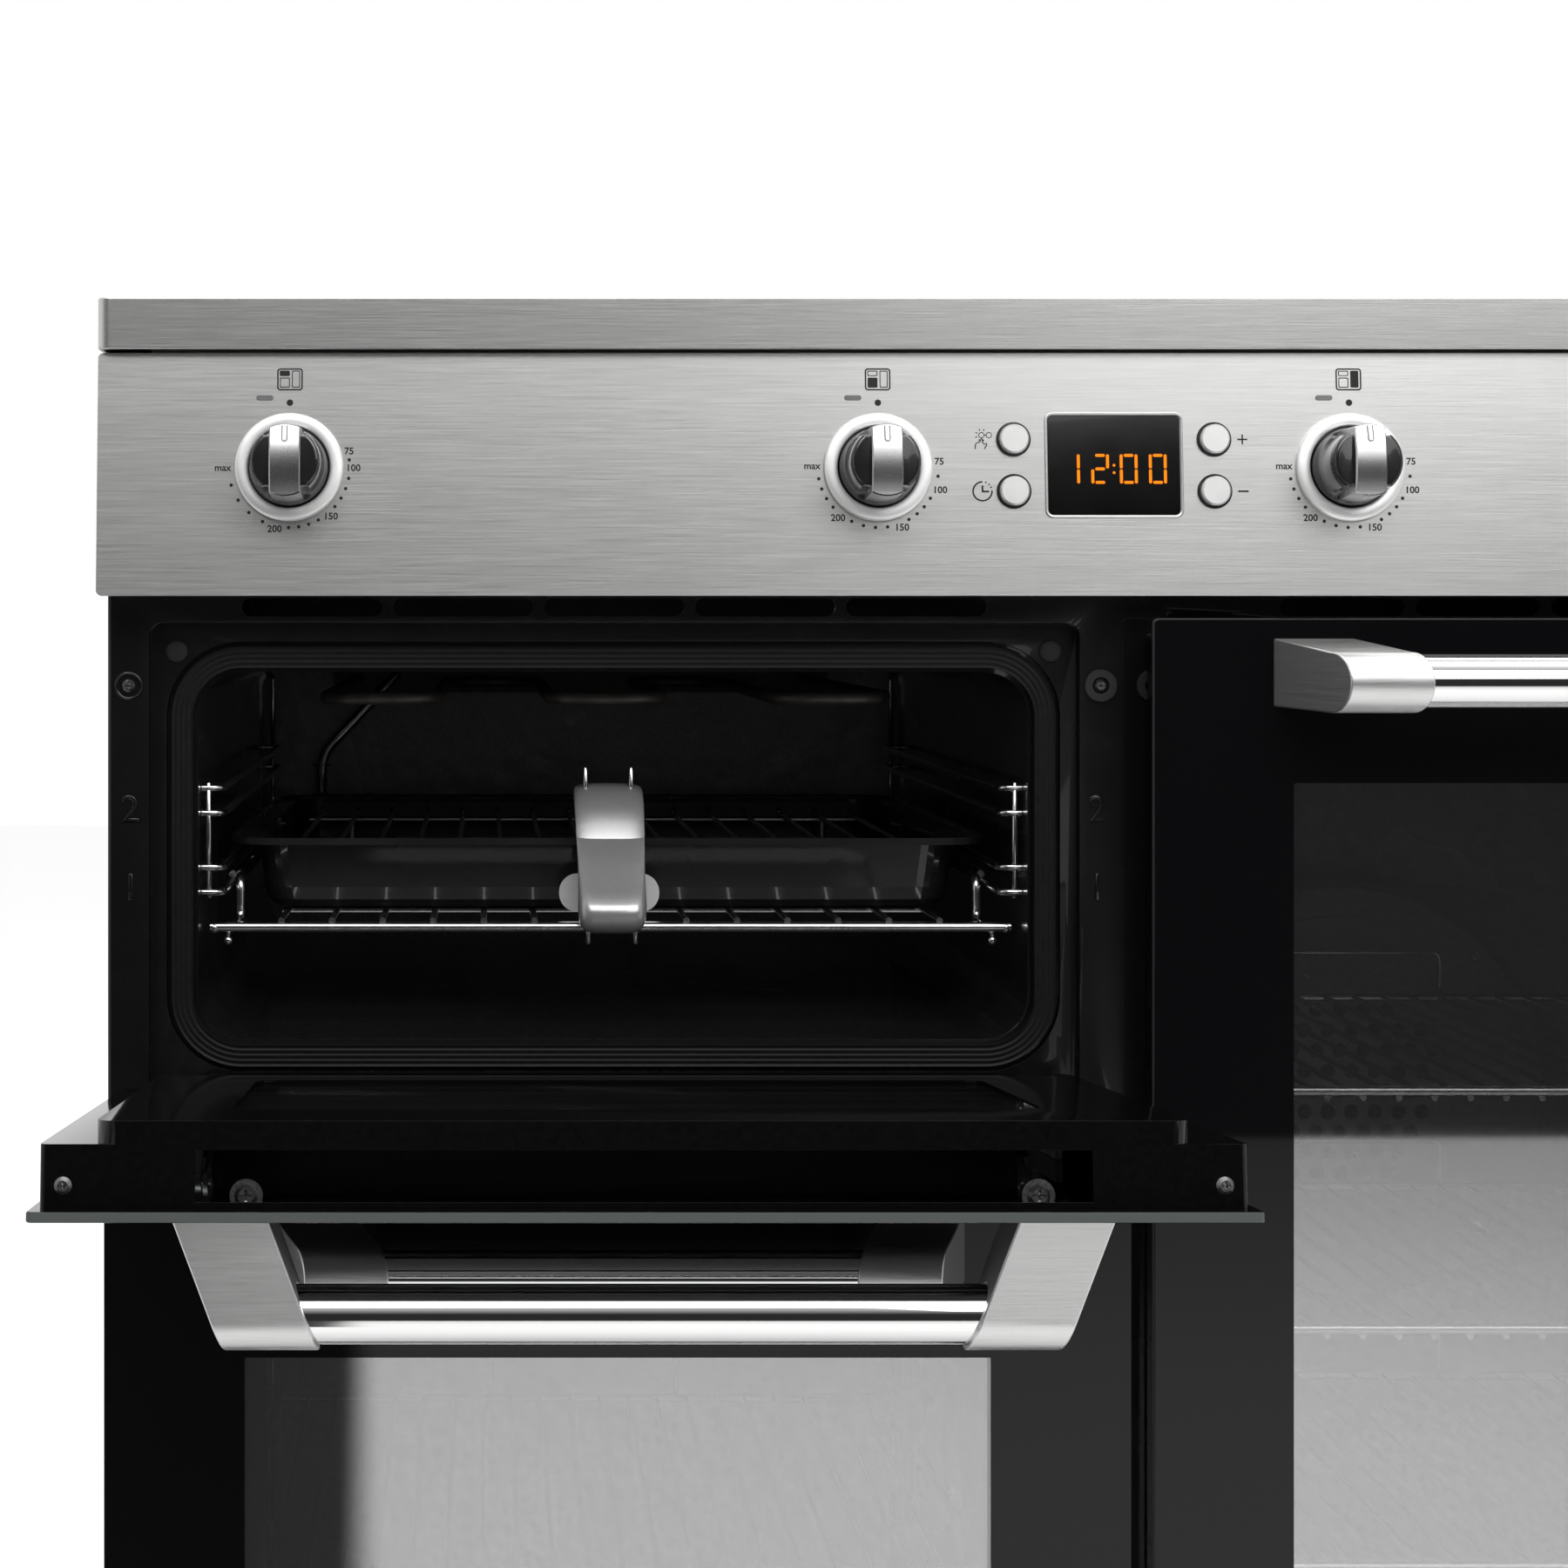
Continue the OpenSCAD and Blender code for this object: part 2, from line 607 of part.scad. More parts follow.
// An oven liner: a deep box that is open to the front, with a rounded section
module liner(x, z, w) difference() {
  facing(liner_y, cavity_d + liner_t) window(x, [z[0] - liner_t, z[1] + liner_t], w + 2 * liner_t, opening_r + liner_t);
  facing(liner_y - 1, cavity_d + 1) window(x, z, w, opening_r);
}
module grill_cavity() placed() color("#1b1b1d") liner(left_x, grill_open_z, left_opening_w);
module lower_cavity() placed() color("#1b1b1d") liner(left_x, lower_open_z, left_opening_w);
module tall_cavity() placed() color("#1b1b1d") liner(tall_x, tall_open_z, tall_opening_w);

seal_t = seat_depth - (door_step - door_air) - seat_gap;
module seal_ring(x, z, w, inset) difference() {
  out = seal_margin + seal_w - inset;
  in = seal_margin + inset;
  window(x, [z[0] - out, z[1] + out], w + 2 * out, opening_r + out);
  window(x, [z[0] - in, z[1] + in], w + 2 * in, opening_r + in);
}
module seal(x, z, w) {
  facing(seat_depth - seal_t, seal_t - 1) seal_ring(x, z, w, 0);
  facing(seat_depth - 1 - EPS, 1) seal_ring(x, z, w, 2);
}
module door_seals() placed() color("#3a3a3d") {
  seal(left_x, grill_open_z, left_opening_w);
  seal(left_x, lower_open_z, left_opening_w);
  seal(tall_x, tall_open_z, tall_opening_w);
}

rack_front = 24;
rack_rear = cavity_d - 20;
runner_in = 10;
runner_r = 6;

// A side rack: each runner wire is bent back to the oven wall at its two ends
module side_rack(wall_x, inward, heights, d) for (z = heights) translate([0, 0, z])
  bent_wire([[wall_x + inward * seat_gap, rack_front], [wall_x + inward * runner_in, rack_front],
    [wall_x + inward * runner_in, rack_rear], [wall_x + inward * seat_gap, rack_rear]], d, runner_r);

grill_levels = [grill_open_z[0] + runner_z, grill_open_z[0] + runner_z + runner_pitch];
left_wall = left_x - left_opening_w / 2;
left_wall_r = left_x + left_opening_w / 2;
tall_wall = tall_x - tall_opening_w / 2;
tall_wall_r = tall_x + tall_opening_w / 2;

function in_pairs(levels) = [for (l = levels, e = [-1, 1]) l + e * runner_gap / 2];

module grill_side_racks() placed() color("silver") {
  side_rack(left_wall, 1, in_pairs(grill_levels), runner_d);
  side_rack(left_wall_r, -1, in_pairs(grill_levels), runner_d);
}

lower_levels = [for (i = [0 : 2]) lower_open_z[0] + 70 + i * 80];
tall_levels = [for (i = [0 : 4]) tall_open_z[0] + 52 + i * tall_pitch];
tall_shelves = [1, 2, 3];
module oven_side_racks() placed() color("silver") {
  side_rack(left_wall, 1, lower_levels, runner_d);
  side_rack(left_wall_r, -1, lower_levels, runner_d);
  side_rack(tall_wall, 1, tall_levels, runner_d);
  side_rack(tall_wall_r, -1, tall_levels, runner_d);
}

// The grill element is one tube bent into six runs under the oven roof
element_d = 6.5;
element_run = 54;
rear_wall_y = liner_y + cavity_d;
module grill_element() placed() color("#4a4a4c") {
  rear = rear_wall_y - 1.5;
  translate([left_x, 0, grill_open_z[1] - 14]) bent_wire([for (i = [0 : 5], end = [0, 1])
    [(i - 2.5) * element_run, (i + end) % 2 == 1 ? 70 : (i == 0 || i == 5) ? rear : rear - 50]], element_d, 20);
  translate([left_x - 150, rear_wall_y - 2.1, grill_open_z[1] - 22]) cube([300, 2, 16]);
}

fan_z = (tall_open_z[0] + tall_open_z[1]) / 2 + 34;
fan_r = 82;
fan_cover_r = 126;
grille_step = 14;
fan_cover_t = 1.4;
module fan_cover() placed() color("#3a3a3c") translate([tall_x, rear_wall_y, fan_z]) rotate([90, 0, 0])
  difference() {
    union() {
      cylinder(r = fan_cover_r, h = 28);
      translate([0, 0, 28 - EPS]) cylinder(r1 = fan_cover_r, r2 = fan_cover_r - 5, h = 4);
      translate([0, 0, 32 - 2 * EPS]) cylinder(r = fan_cover_r - 22, h = 2);
    }
    translate([0, 0, -1]) cylinder(r = fan_cover_r - fan_cover_t, h = 29.6);
    translate([0, 0, 25]) cylinder(r = fan_cover_r - 22 - fan_cover_t, h = 7.6);
    for (i = [-4 : 4], k = [-4 : 4]) {
      p = [(i + k / 2) * grille_step, k * grille_step * sqrt(0.75)];
      if (norm(p) < 4.4 * grille_step) translate([p[0], p[1], 20]) cylinder(d = 9, h = 20, $fn = 20);
    }
    for (a = [0 : 45 : 315]) rotate([0, 0, a]) translate([fan_cover_r - 4, -22, 6]) cube([10, 44, 10]);
  }

module fan_wheel() placed() color("gray") translate([tall_x, rear_wall_y, fan_z]) rotate([90, 0, 0]) {
  translate([0, 0, 0.2]) cylinder(d = 8, h = 14);
  translate([0, 0, 4]) cylinder(r = fan_r, h = 1.2);
  for (a = [0 : 22.5 : 337.5]) rotate([0, 0, a]) translate([fan_r * 0.55, -0.6, 4]) cube([fan_r * 0.42, 1.2, 18]);
}

// An oven shelf: a bent rim wire, and thin wires under it from front to back
wire_lift = (rod_d + wire_d) / 2 - 1;
cross_d = 4.4;
module flat_shelf(x, z, opening_w, count) translate([x, 0, z]) {
  y0 = rack_front + 16;
  y1 = rack_rear - 16;
  side = opening_w / 2 - runner_in;
  bent_wire([[-side, y1], [-side, y0], [side, y0], [side, y1]], rod_d, 12);
  translate([2 - side, y1 - 8, -wire_lift]) rotate([0, 90, 0]) cylinder(d = cross_d, h = 2 * side - 4);
  for (i = [1 : count]) translate([-side + i * 2 * side / (count + 1), y0 - 1.2, -wire_lift]) rotate([-90, 0, 0])
    cylinder(d = wire_d, h = y1 - y0 - 6.8);
}

shelf_lift = rod_d / 2 + runner_d / 2 + 0.1;
module oven_shelves() placed() color("silver") {
  flat_shelf(left_x, lower_levels[1] + shelf_lift, left_opening_w, 20);
  for (i = tall_shelves) flat_shelf(tall_x, tall_levels[i] + shelf_lift, tall_opening_w, 19);
}

// The grill oven's shelf hangs below two sliders, which are welded outside its side rods and
// run between the runner wires
slider_d = 3.6;
shelf_side_z = grill_levels[0] - runner_gap / 2 + (slider_d + runner_d) / 2 + 0.1;
shelf_floor_z = shelf_side_z - shelf_drop;
shelf_wires = 14;
module wire_shelf() placed() color("silver") translate([left_x, 0, shelf_floor_z]) {
  side = left_opening_w / 2 - runner_in;
  inner = side - 5;
  y0 = shelf_setback + rod_d / 2;
  y1 = shelf_setback + shelf_depth - rod_d / 2;
  for (q = [[shelf_w, y0], [2 * inner + 8, y1]]) translate([-q[0] / 2, q[1], 0]) rotate([0, 90, 0])
    cylinder(d = rod_d, h = q[0]);
  for (e = [-1, 1]) {
    translate([e * inner, 0, 0]) upright() bent_wire([[y0, 0], [y0 + 20, 0],
      [y0 + 20, shelf_drop], [y1 - 20, shelf_drop], [y1 - 20, 0], [y1, 0]], cross_d, runner_r);
    translate([e * side, y0 + 36, shelf_drop]) rotate([-90, 0, 0]) cylinder(d = slider_d, h = y1 - y0 - 72);
    for (i = [0 : 3]) translate([e * (side - 3), y0 + 50 + i * (y1 - y0 - 100) / 3, shelf_drop]) rotate([0, 90, 0])
      cylinder(d = 2.8, h = 7, center = true);
  }
  for (y = [y0 + 62, y1 - 60]) translate([-side + 22, y, wire_lift - 2.2]) rotate([0, 90, 0])
    cylinder(d = wire_d + 0.4, h = 2 * side - 44);
  for (i = [0 : shelf_wires - 1]) translate([-side + 26 + i * (2 * side - 52) / (shelf_wires - 1), y0 - 1.2, wire_lift])
    rotate([-90, 0, 0]) cylinder(d = wire_d, h = y1 - y0 + 2.4);
}

pan_floor = shelf_floor_z + wire_lift + wire_d / 2 + 0.1;
pan_front = shelf_setback + 16;
pan_y = pan_front + pan_d / 2;
pan_top = pan_floor + pan_h;
pan_r = 18;
pan_t = 1;
pan_rim = 12.5;
module pan_outline(grow, r) translate([left_x, pan_y]) rounded(pan_w - 2 * pan_rim + 2 * grow, pan_d - 2 * pan_rim + 2 * grow, r);

// The pan's walls lean in and turn through a quarter round into its floor
module pan_shell(grow) {
  turn_in = [[0, 11], [1.6, 5], [4.6, 1.6], [9.5, 0]];
  hull() {
    translate([0, 0, pan_top - 4]) linear_extrude(grow < 0 ? 12 : 1) pan_outline(grow, pan_r + grow, $fn = 32);
    for (q = turn_in) translate([0, 0, pan_floor - grow + q[1]]) linear_extrude(0.1)
      pan_outline(grow - 2.4 - q[0], pan_r + grow - q[0] / 2, $fn = 32);
  }
}
module grill_pan() placed() color("#232326") difference() {
  union() {
    translate([0, 0, pan_top - 3.2]) linear_extrude(1.4) pan_outline(pan_rim, pan_r + 6);
    translate([0, 0, pan_top - 2.4]) linear_extrude(2.4) difference() {
      pan_outline(pan_rim, pan_r + 6);
      pan_outline(pan_rim - 1.8, pan_r + 4.2);
    }
    pan_shell(0);
  }
  pan_shell(-pan_t);
}

trivet_z = pan_top - 12;
trivet_wires = 16;
trivet_d = 3.4;
module pan_trivet() placed() color("silver") {
  w = pan_w - 2 * pan_rim - 2 * pan_t - 16;
  d = pan_d - 2 * pan_rim - 2 * pan_t - 12;
  for (y = [pan_y - d / 2 + 16, pan_y + d / 2 - 16]) {
    wire([left_x - w / 2, y, trivet_z], [left_x + w / 2, y, trivet_z], trivet_d);
    for (e = [-1, 1]) wire([left_x + e * (w / 2 - 24), y, trivet_z],
      [left_x + e * (w / 2 - 24), y, pan_floor + pan_t + 0.2], trivet_d + 0.4);
  }
  for (i = [0 : trivet_wires - 1]) translate([left_x - w / 2 + 6 + i * (w - 12) / (trivet_wires - 1), 0, trivet_z + 1.6])
    wire([0, pan_y - d / 2 - 3.5, 0], [0, pan_y + d / 2 + 3.5, 0], trivet_d - 0.6);
}

// The handle hooks over the pan's front rim, rises from it and slopes down to its grip
grip_front = 8.5;
grip_back = pan_front - 1;
grip_top = pan_top + 31;
grip_low = pan_floor - 6;
module pan_handle() placed() color("#8a8a8c") translate([left_x, 0, 0]) {
  difference() {
    sideways(grip_w) {
      polygon([[grip_back + 8, grip_top], [grip_back - 4, grip_top], [grip_front + 4, pan_top - 4],
        [grip_front, pan_top - 12], [grip_front, grip_low + 9], [grip_front + 5, grip_low + 3],
        [grip_front + 13, grip_low], [grip_front + 19, grip_low + 4], [grip_front + 21, grip_low + 14],
        [grip_back - 12, pan_top - 14], [grip_back - 1, pan_top + 6], [grip_back + 8, pan_top + 8]]);
      translate([grip_back + 8 - 0.5, grip_top - 10.5]) circle(10.5);
    }
    for (e = [-1, 1]) translate([e * (grip_w / 2 + 1.4), grip_front - 1.4, 0]) rotate([0, 0, 45])
      cube([7, 7, 3 * grip_top], center = true);
  }
  for (e = [-1, 1]) {
    wire([e * 10.8, grip_back + 9, pan_top + 10], [e * 10.8, grip_back + 9, grip_top + 1.6], 2.4);
    wire([e * 10.8, grip_front + 13, grip_low + 6], [e * 10.8, grip_front + 13, grip_low - 4.5], 2.4);
  }
  facing(grip_back - 0.4, 1) difference() {
    translate([0, pan_top - 25.5]) rounded(47, 18, 8.6);
    translate([0, pan_top - 40.5]) square([12, 16], center = true);
  }
  translate([-8, grip_back - 14, pan_top - 20]) cube([16, 14, 3]);
  translate([-9, grip_back - 0.4, pan_top - 30]) cube([18, 1, 32]);
  translate([-9, grip_back - 0.4, pan_top + 0.2]) cube([18, 10, 8]);
}

module frame_screws() placed() color("gray") frame_screw_places() rotate([90, 0, 0]) difference() {
  union() {
    cylinder(d = 12.6, h = 1);
    translate([0, 0, 1 - EPS]) cylinder(d1 = 7.4, d2 = 5.6, h = 1);
    translate([0, 0, -8]) cylinder(d = screw_d, h = 8.5);
  }
  for (a = [0, 90]) rotate([0, 0, a]) translate([-2.2, -0.4, 1.3]) cube([4.4, 0.8, 2]);
}

// Drop-down doors turn on pins along X; the frames and arms are drawn for a closed door
module door_glass(x, z, w) facing(glass_y, door_glass_t) window(x, z, w, 2.5);

module door_box(x, z, w, low, window_z, plateau_low) {
  top = z[1] - box_inset;
  bw = w - 2 * box_side;
  pw = w - 2 * plateau_side;
  t = liner_t + 0.2;
  box_y = glass_y + door_glass_t;
  difference() {
    union() {
      facing(box_y, shoulder_y - box_y) window(x, [low, top], bw, 3);
      facing(shoulder_y - 1, door_step + 1) window(x, [plateau_low, top], pw, 8);
    }
    facing(box_y - 1, shoulder_y - box_y + 1 - t) window(x, [low + t, top - t], bw - 2 * t, 2);
    facing(shoulder_y - 4, door_step + 4 - t) window(x, [plateau_low + t, top - t], pw - 2 * t, 7);
    facing(shoulder_y - 4, 30) window(x, window_z, pw - 90, 12);
    facing(box_y + 2.4, 19) window(x, [top - 12, top + 12], w - 122, 1);
    children();
  }
}

module inner_pane(x, window_z, w) facing(shoulder_y + door_step - liner_t - 0.2 - 4.3, 4)
  window(x, [window_z[0] - 12, window_z[1] + 12], w - 2 * plateau_side - 66, 10);

// A handle: two brackets that lean inwards to a round nose, and the tube between them
module bracket_profile() {
  polygon([[0, -11.6], [0, 18.4], [-tube_reach, nose_r], [-tube_reach, -nose_r]]);
  translate([-tube_reach, 0]) circle(nose_r);
}
module handle_brackets(x, top, w, inset) for (e = [-1, 1]) translate([x, 0, 0]) mirror([e > 0 ? 1 : 0, 0, 0])
  translate([-w / 2 + inset, glass_y, top - tube_drop]) difference() {
    intersection() {
      translate([40, 0, 0]) sideways(160) bracket_profile();
      translate([0, 0, -40]) linear_extrude(80) polygon([[0, 1], [bracket_w, 1],
        [bracket_w + bracket_slant * 1.02, -tube_reach - nose_r - 1], [bracket_slant * 1.02, -tube_reach - nose_r - 1]]);
    }
    translate([bracket_w + bracket_slant - 16, -tube_reach, 0]) rotate([0, 90, 0]) cylinder(d = tube_d + 0.1, h = 60);
  }
module handle_tube(x, top, w, inset) {
  len = w - 2 * (inset + bracket_w + bracket_slant - 15.5);
  translate([x - len / 2, glass_y - tube_reach, top - tube_drop]) rotate([0, 90, 0]) difference() {
    cylinder(d = tube_d, h = len);
    translate([0, 0, -1]) cylinder(d = tube_d - 3, h = len + 2);
  }
}

// Hinges of a drop-down door: ears on the body carry a pin that turns with the door's arm
module drop_hinge_places(x) for (e = [-1, 1]) translate([x + e * (left_door_w / 2 - hinge_in), 0, 0]) children();

module drop_ears(x, z) drop_hinge_places(x) {
  for (e = [-1, 1]) translate([e * (ear_gap + ear_t) / 2, 0, 0]) difference() {
    sideways(ear_t) {
      translate([-pin_reach, z]) circle(ear_r);
      translate([0, z]) polygon([[-pin_reach - 3.2, -5.6], [-pin_reach + 5.6, 3.2], [-0.6, tail_z[1] - seat_gap],
        [liner_t + 1, tail_z[1] - seat_gap], [liner_t + 1, tail_z[0] + seat_gap], [-3, tail_z[0] + seat_gap]]);
    }
    translate([-ear_t, -pin_reach, z]) rotate([0, 90, 0]) cylinder(d = pin_d + 2 * running_gap, h = 2 * ear_t);
  }
  translate([-14, liner_t, z + tail_z[0] - 0.8]) cube([28, plate_t, tail_z[1] - tail_z[0] + 1.6]);
}

module drop_arms(x, z) drop_hinge_places(x) {
  translate([-tail_half - 1, -pin_reach, z]) rotate([0, 90, 0]) cylinder(d = pin_d, h = 2 * tail_half + 2);
  sideways(3) {
    arm_y = glass_y + door_glass_t + seat_gap;
    translate([-pin_reach, z]) circle(5);
    translate([arm_y, z - 4]) square([-arm_y - pin_reach, 8]);
    translate([arm_y, z - 4]) square([9, 59]);
  }
}

module hinge_slots(x, z) drop_hinge_places(x)
  translate([-6, glass_y + door_glass_t - 1, z - 12]) cube([12, 50, 24]);

module side_hinge_z() for (z = [doors_low + 60, door_top - 60]) translate([0, 0, z]) children();
module hinge_receivers() placed() color("silver") {
  drop_ears(left_x, grill_pin_z);
  drop_ears(left_x, lower_pin_z);
  side_hinge_z() {
    for (e = [-1, 1]) translate([0, 0, e * (ear_gap + ear_t) / 2 - ear_t / 2]) difference() {
      translate([side_pin_x, -side_pin_reach, 0]) union() {
        cylinder(r = side_ear_r, h = ear_t);
        translate([-side_ear_r, 0, 0]) cube([2 * side_ear_r, side_pin_reach + liner_t + 1, ear_t]);
      }
      translate([side_pin_x, -side_pin_reach, -1]) cylinder(d = pin_d + 2 * running_gap, h = ear_t + 2);
    }
    translate([side_pin_x - side_ear_r - 1.7, liner_t, -12]) cube([2 * side_ear_r + 2.5, plate_t, 24]);
  }
}

module grill_turned() placed() translate([0, -pin_reach, grill_pin_z]) rotate([grill_door_open, 0, 0])
  translate([0, pin_reach, -grill_pin_z]) children();

grill_door_span = [grill_door_z, door_top];
grill_window = [grill_door_z + 62, door_top - 52];
module grill_door_glass() color("#0d0d0e") grill_turned() door_glass(left_x, grill_door_span, left_door_w);
module grill_door_frame() color("#19191b") grill_turned()
  door_box(left_x, grill_door_span, left_door_w, grill_pin_z - pin_below, grill_window,
    grill_pin_z - pin_below + 8) hinge_slots(left_x, grill_pin_z);
module grill_door_inner_glass() color("#2c2c30") grill_turned() inner_pane(left_x, grill_window, left_door_w);
module grill_door_hinges() color("silver") grill_turned() drop_arms(left_x, grill_pin_z);
module grill_handle_brackets() color("silver") grill_turned() handle_brackets(left_x, door_top, left_door_w, handle_inset);
module grill_handle_tube() color("white") grill_turned() handle_tube(left_x, door_top, left_door_w, handle_inset);

lower_door_span = [doors_low, lower_door_top];
lower_window = [doors_low + 72, lower_door_top - 72];
module lower_door_glass() color("#0d0d0e") placed() door_glass(left_x, lower_door_span, left_door_w);
module lower_door_frame() color("#19191b") placed()
  door_box(left_x, lower_door_span, left_door_w, lower_pin_z - pin_below, lower_window,
    lower_pin_z - pin_below + 8) hinge_slots(left_x, lower_pin_z);
module lower_door_inner_glass() color("#2c2c30") placed() inner_pane(left_x, lower_window, left_door_w);
module lower_door_hinges() color("silver") placed() drop_arms(left_x, lower_pin_z);
module lower_handle_brackets() color("silver") placed() handle_brackets(left_x, lower_door_top, left_door_w, lower_handle_inset);
module lower_handle_tube() color("white") placed() handle_tube(left_x, lower_door_top, left_door_w, lower_handle_inset);

tall_door_span = [doors_low, door_top];
tall_window = [doors_low + 72, door_top - 72];
module tall_door_glass() color("#0d0d0e") placed() door_glass(tall_x, tall_door_span, tall_door_w);
module tall_door_frame() color("#19191b") placed()
  door_box(tall_x, tall_door_span, tall_door_w, doors_low + box_inset, tall_window,
    tall_open_z[0] - step_below + liner_t + door_air)
    side_hinge_z() translate([side_pin_x - 8, shoulder_y - 22, -8]) cube([20, 30, 16]);
module tall_door_inner_glass() color("#2c2c30") placed() inner_pane(tall_x, tall_window, tall_door_w);
module tall_door_hinges() color("silver") placed() side_hinge_z() {
  translate([side_pin_x, -side_pin_reach, -(ear_gap / 2 + ear_t + 1)]) cylinder(d = pin_d, h = ear_gap + 2 * ear_t + 2);
  translate([0, 0, -1.5]) linear_extrude(3) {
    translate([side_pin_x, -side_pin_reach]) circle(4);
    translate([side_pin_x - 40, glass_y + door_glass_t + seat_gap]) square([40, 6]);
    translate([side_pin_x - 4, glass_y + door_glass_t + seat_gap])
      square([5, -side_pin_reach - glass_y - door_glass_t - seat_gap]);
  }
}
module tall_handle_brackets() color("silver") placed() handle_brackets(tall_x, door_top, tall_door_w, handle_inset);
module tall_handle_tube() color("white") placed() handle_tube(tall_x, door_top, tall_door_w, handle_inset);

base_frame();
levelling_feet();
plinth();
side_panel_left();
side_panel_right();
back_panel();
terminal_box();
hob_tray();
hob_trim();
hob_glass();
induction_coils();
control_panel();
knob_bezels();
knob_grill_oven();
knob_lower_oven();
knob_tall_oven();
knob_grill();
button_light();
button_timer();
button_plus();
button_minus();
display_window();
timer_module();
rotary_switches();
left_front_frame();
right_front_frame();
grill_cavity();
lower_cavity();
tall_cavity();
door_seals();
grill_side_racks();
oven_side_racks();
grill_element();
fan_cover();
fan_wheel();
oven_shelves();
hinge_receivers();
frame_screws();
wire_shelf();
grill_pan();
pan_trivet();
pan_handle();
grill_door_glass();
grill_door_frame();
grill_door_inner_glass();
grill_door_hinges();
grill_handle_brackets();
grill_handle_tube();
lower_door_glass();
lower_door_frame();
lower_door_inner_glass();
lower_door_hinges();
lower_handle_brackets();
lower_handle_tube();
tall_door_glass();
tall_door_frame();
tall_door_inner_glass();
tall_door_hinges();
tall_handle_brackets();
tall_handle_tube();
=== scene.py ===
import json
import math

import bmesh
import bpy
from mathutils import Matrix, Vector

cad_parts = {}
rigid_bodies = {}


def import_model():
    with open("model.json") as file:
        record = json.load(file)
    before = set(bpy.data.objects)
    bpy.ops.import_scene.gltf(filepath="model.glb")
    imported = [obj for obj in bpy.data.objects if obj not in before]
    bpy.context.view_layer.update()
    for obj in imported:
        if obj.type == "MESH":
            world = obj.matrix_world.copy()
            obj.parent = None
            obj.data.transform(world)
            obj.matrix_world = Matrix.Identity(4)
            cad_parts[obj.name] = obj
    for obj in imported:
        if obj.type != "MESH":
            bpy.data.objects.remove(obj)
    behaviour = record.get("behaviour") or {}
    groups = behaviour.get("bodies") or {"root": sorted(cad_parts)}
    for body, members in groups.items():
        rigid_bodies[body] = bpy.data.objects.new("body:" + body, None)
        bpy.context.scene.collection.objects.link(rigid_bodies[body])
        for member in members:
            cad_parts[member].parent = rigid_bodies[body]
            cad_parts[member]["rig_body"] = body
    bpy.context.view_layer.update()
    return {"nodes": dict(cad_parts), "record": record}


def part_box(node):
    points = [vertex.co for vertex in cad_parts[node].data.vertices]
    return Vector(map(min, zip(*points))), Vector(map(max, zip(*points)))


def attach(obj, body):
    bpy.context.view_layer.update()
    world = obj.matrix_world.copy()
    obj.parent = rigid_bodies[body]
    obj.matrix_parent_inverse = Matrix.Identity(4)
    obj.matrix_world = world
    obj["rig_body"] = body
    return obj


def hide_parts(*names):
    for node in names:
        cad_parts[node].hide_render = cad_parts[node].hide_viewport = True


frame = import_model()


# Body shell: base frame, back panel, hob tray and hinge parts.
# Galvanised steel sheet, folded and spot-welded. The zinc coat shows a faint
# spangle of grey crystals and dulls a little between them.

class Feed:
    """A socket of a node tree that sums can be written with."""

    def __init__(self, tree, socket=None):
        self.tree = tree
        self.socket = socket

    def node(self, kind, settings=None, out=0, **feeds):
        """A new node; settings come first, then the values or links of its sockets."""
        made = self.tree.nodes.new(kind if kind.startswith("Geometry") else "ShaderNode" + kind)
        for key, value in (settings or {}).items():
            if key == "stops":
                ramp = made.color_ramp.elements
                while len(ramp) < len(value):
                    ramp.new(0.5)
                for stop, (position, colour) in zip(ramp, value):
                    stop.position = position
                    stop.color = (*colour, 1)
            else:
                setattr(made, key, value)
        for key, value in feeds.items():
            socket = made.inputs[int(key[1:])] if key[1:].isdigit() else made.inputs[key.replace("_", " ")]
            for one in value if isinstance(value, list) else [value]:
                if isinstance(one, Feed):
                    self.tree.links.new(one.socket, socket)
                else:
                    socket.default_value = one
        return Feed(self.tree, made.outputs[out])

    def other(self, out):
        """Another output of the same node."""
        return Feed(self.tree, self.socket.node.outputs[out])

    def maths(self, operation, other=0.0):
        """This value, and another, through one Math node."""
        return self.node("Math", {"operation": operation}, _0=self, _1=other)

    def __add__(self, other):
        return self.maths("ADD", other)

    def __sub__(self, other):
        return self.maths("SUBTRACT", other)

    def __rsub__(self, other):
        return self.node("Math", {"operation": "SUBTRACT"}, _0=other, _1=self)

    def __mul__(self, other):
        return self.maths("MULTIPLY", other)

    def __lt__(self, other):
        return self.maths("LESS_THAN", other)

    def __gt__(self, other):
        return self.maths("GREATER_THAN", other)

    def __abs__(self):
        return self.maths("ABSOLUTE")

    __radd__ = __add__
    __rmul__ = __mul__

    def axes(self):
        """The three numbers of a vector."""
        parts = self.node("SeparateXYZ", Vector=self)
        return parts, parts.other(1), parts.other(2)

    def blend(self, a, b):
        """Colour a where this is 0 and colour b where it is 1; one number is a grey."""
        greys = [(c, c, c) if isinstance(c, float) else c for c in (a, b)]
        a, b = [c if isinstance(c, Feed) else (*c, 1) for c in greys]
        return self.node("Mix", {"data_type": "RGBA"}, 2, _0=self, _6=a, _7=b)

    def grain(self, scale, detail=3.0, stretch=(1, 1, 1), roughness=0.5):
        """Noise of this scale at this point, stretched along the axes."""
        point = self.node("Mapping", Vector=self, Scale=stretch)
        return self.node("TexNoise", Vector=point, Scale=scale, Detail=detail, Roughness=roughness)

    def bump(self, strength, distance):
        """A normal raised by this value, with the distance in metres."""
        return self.node("Bump", Strength=strength, Distance=distance, Height=self)


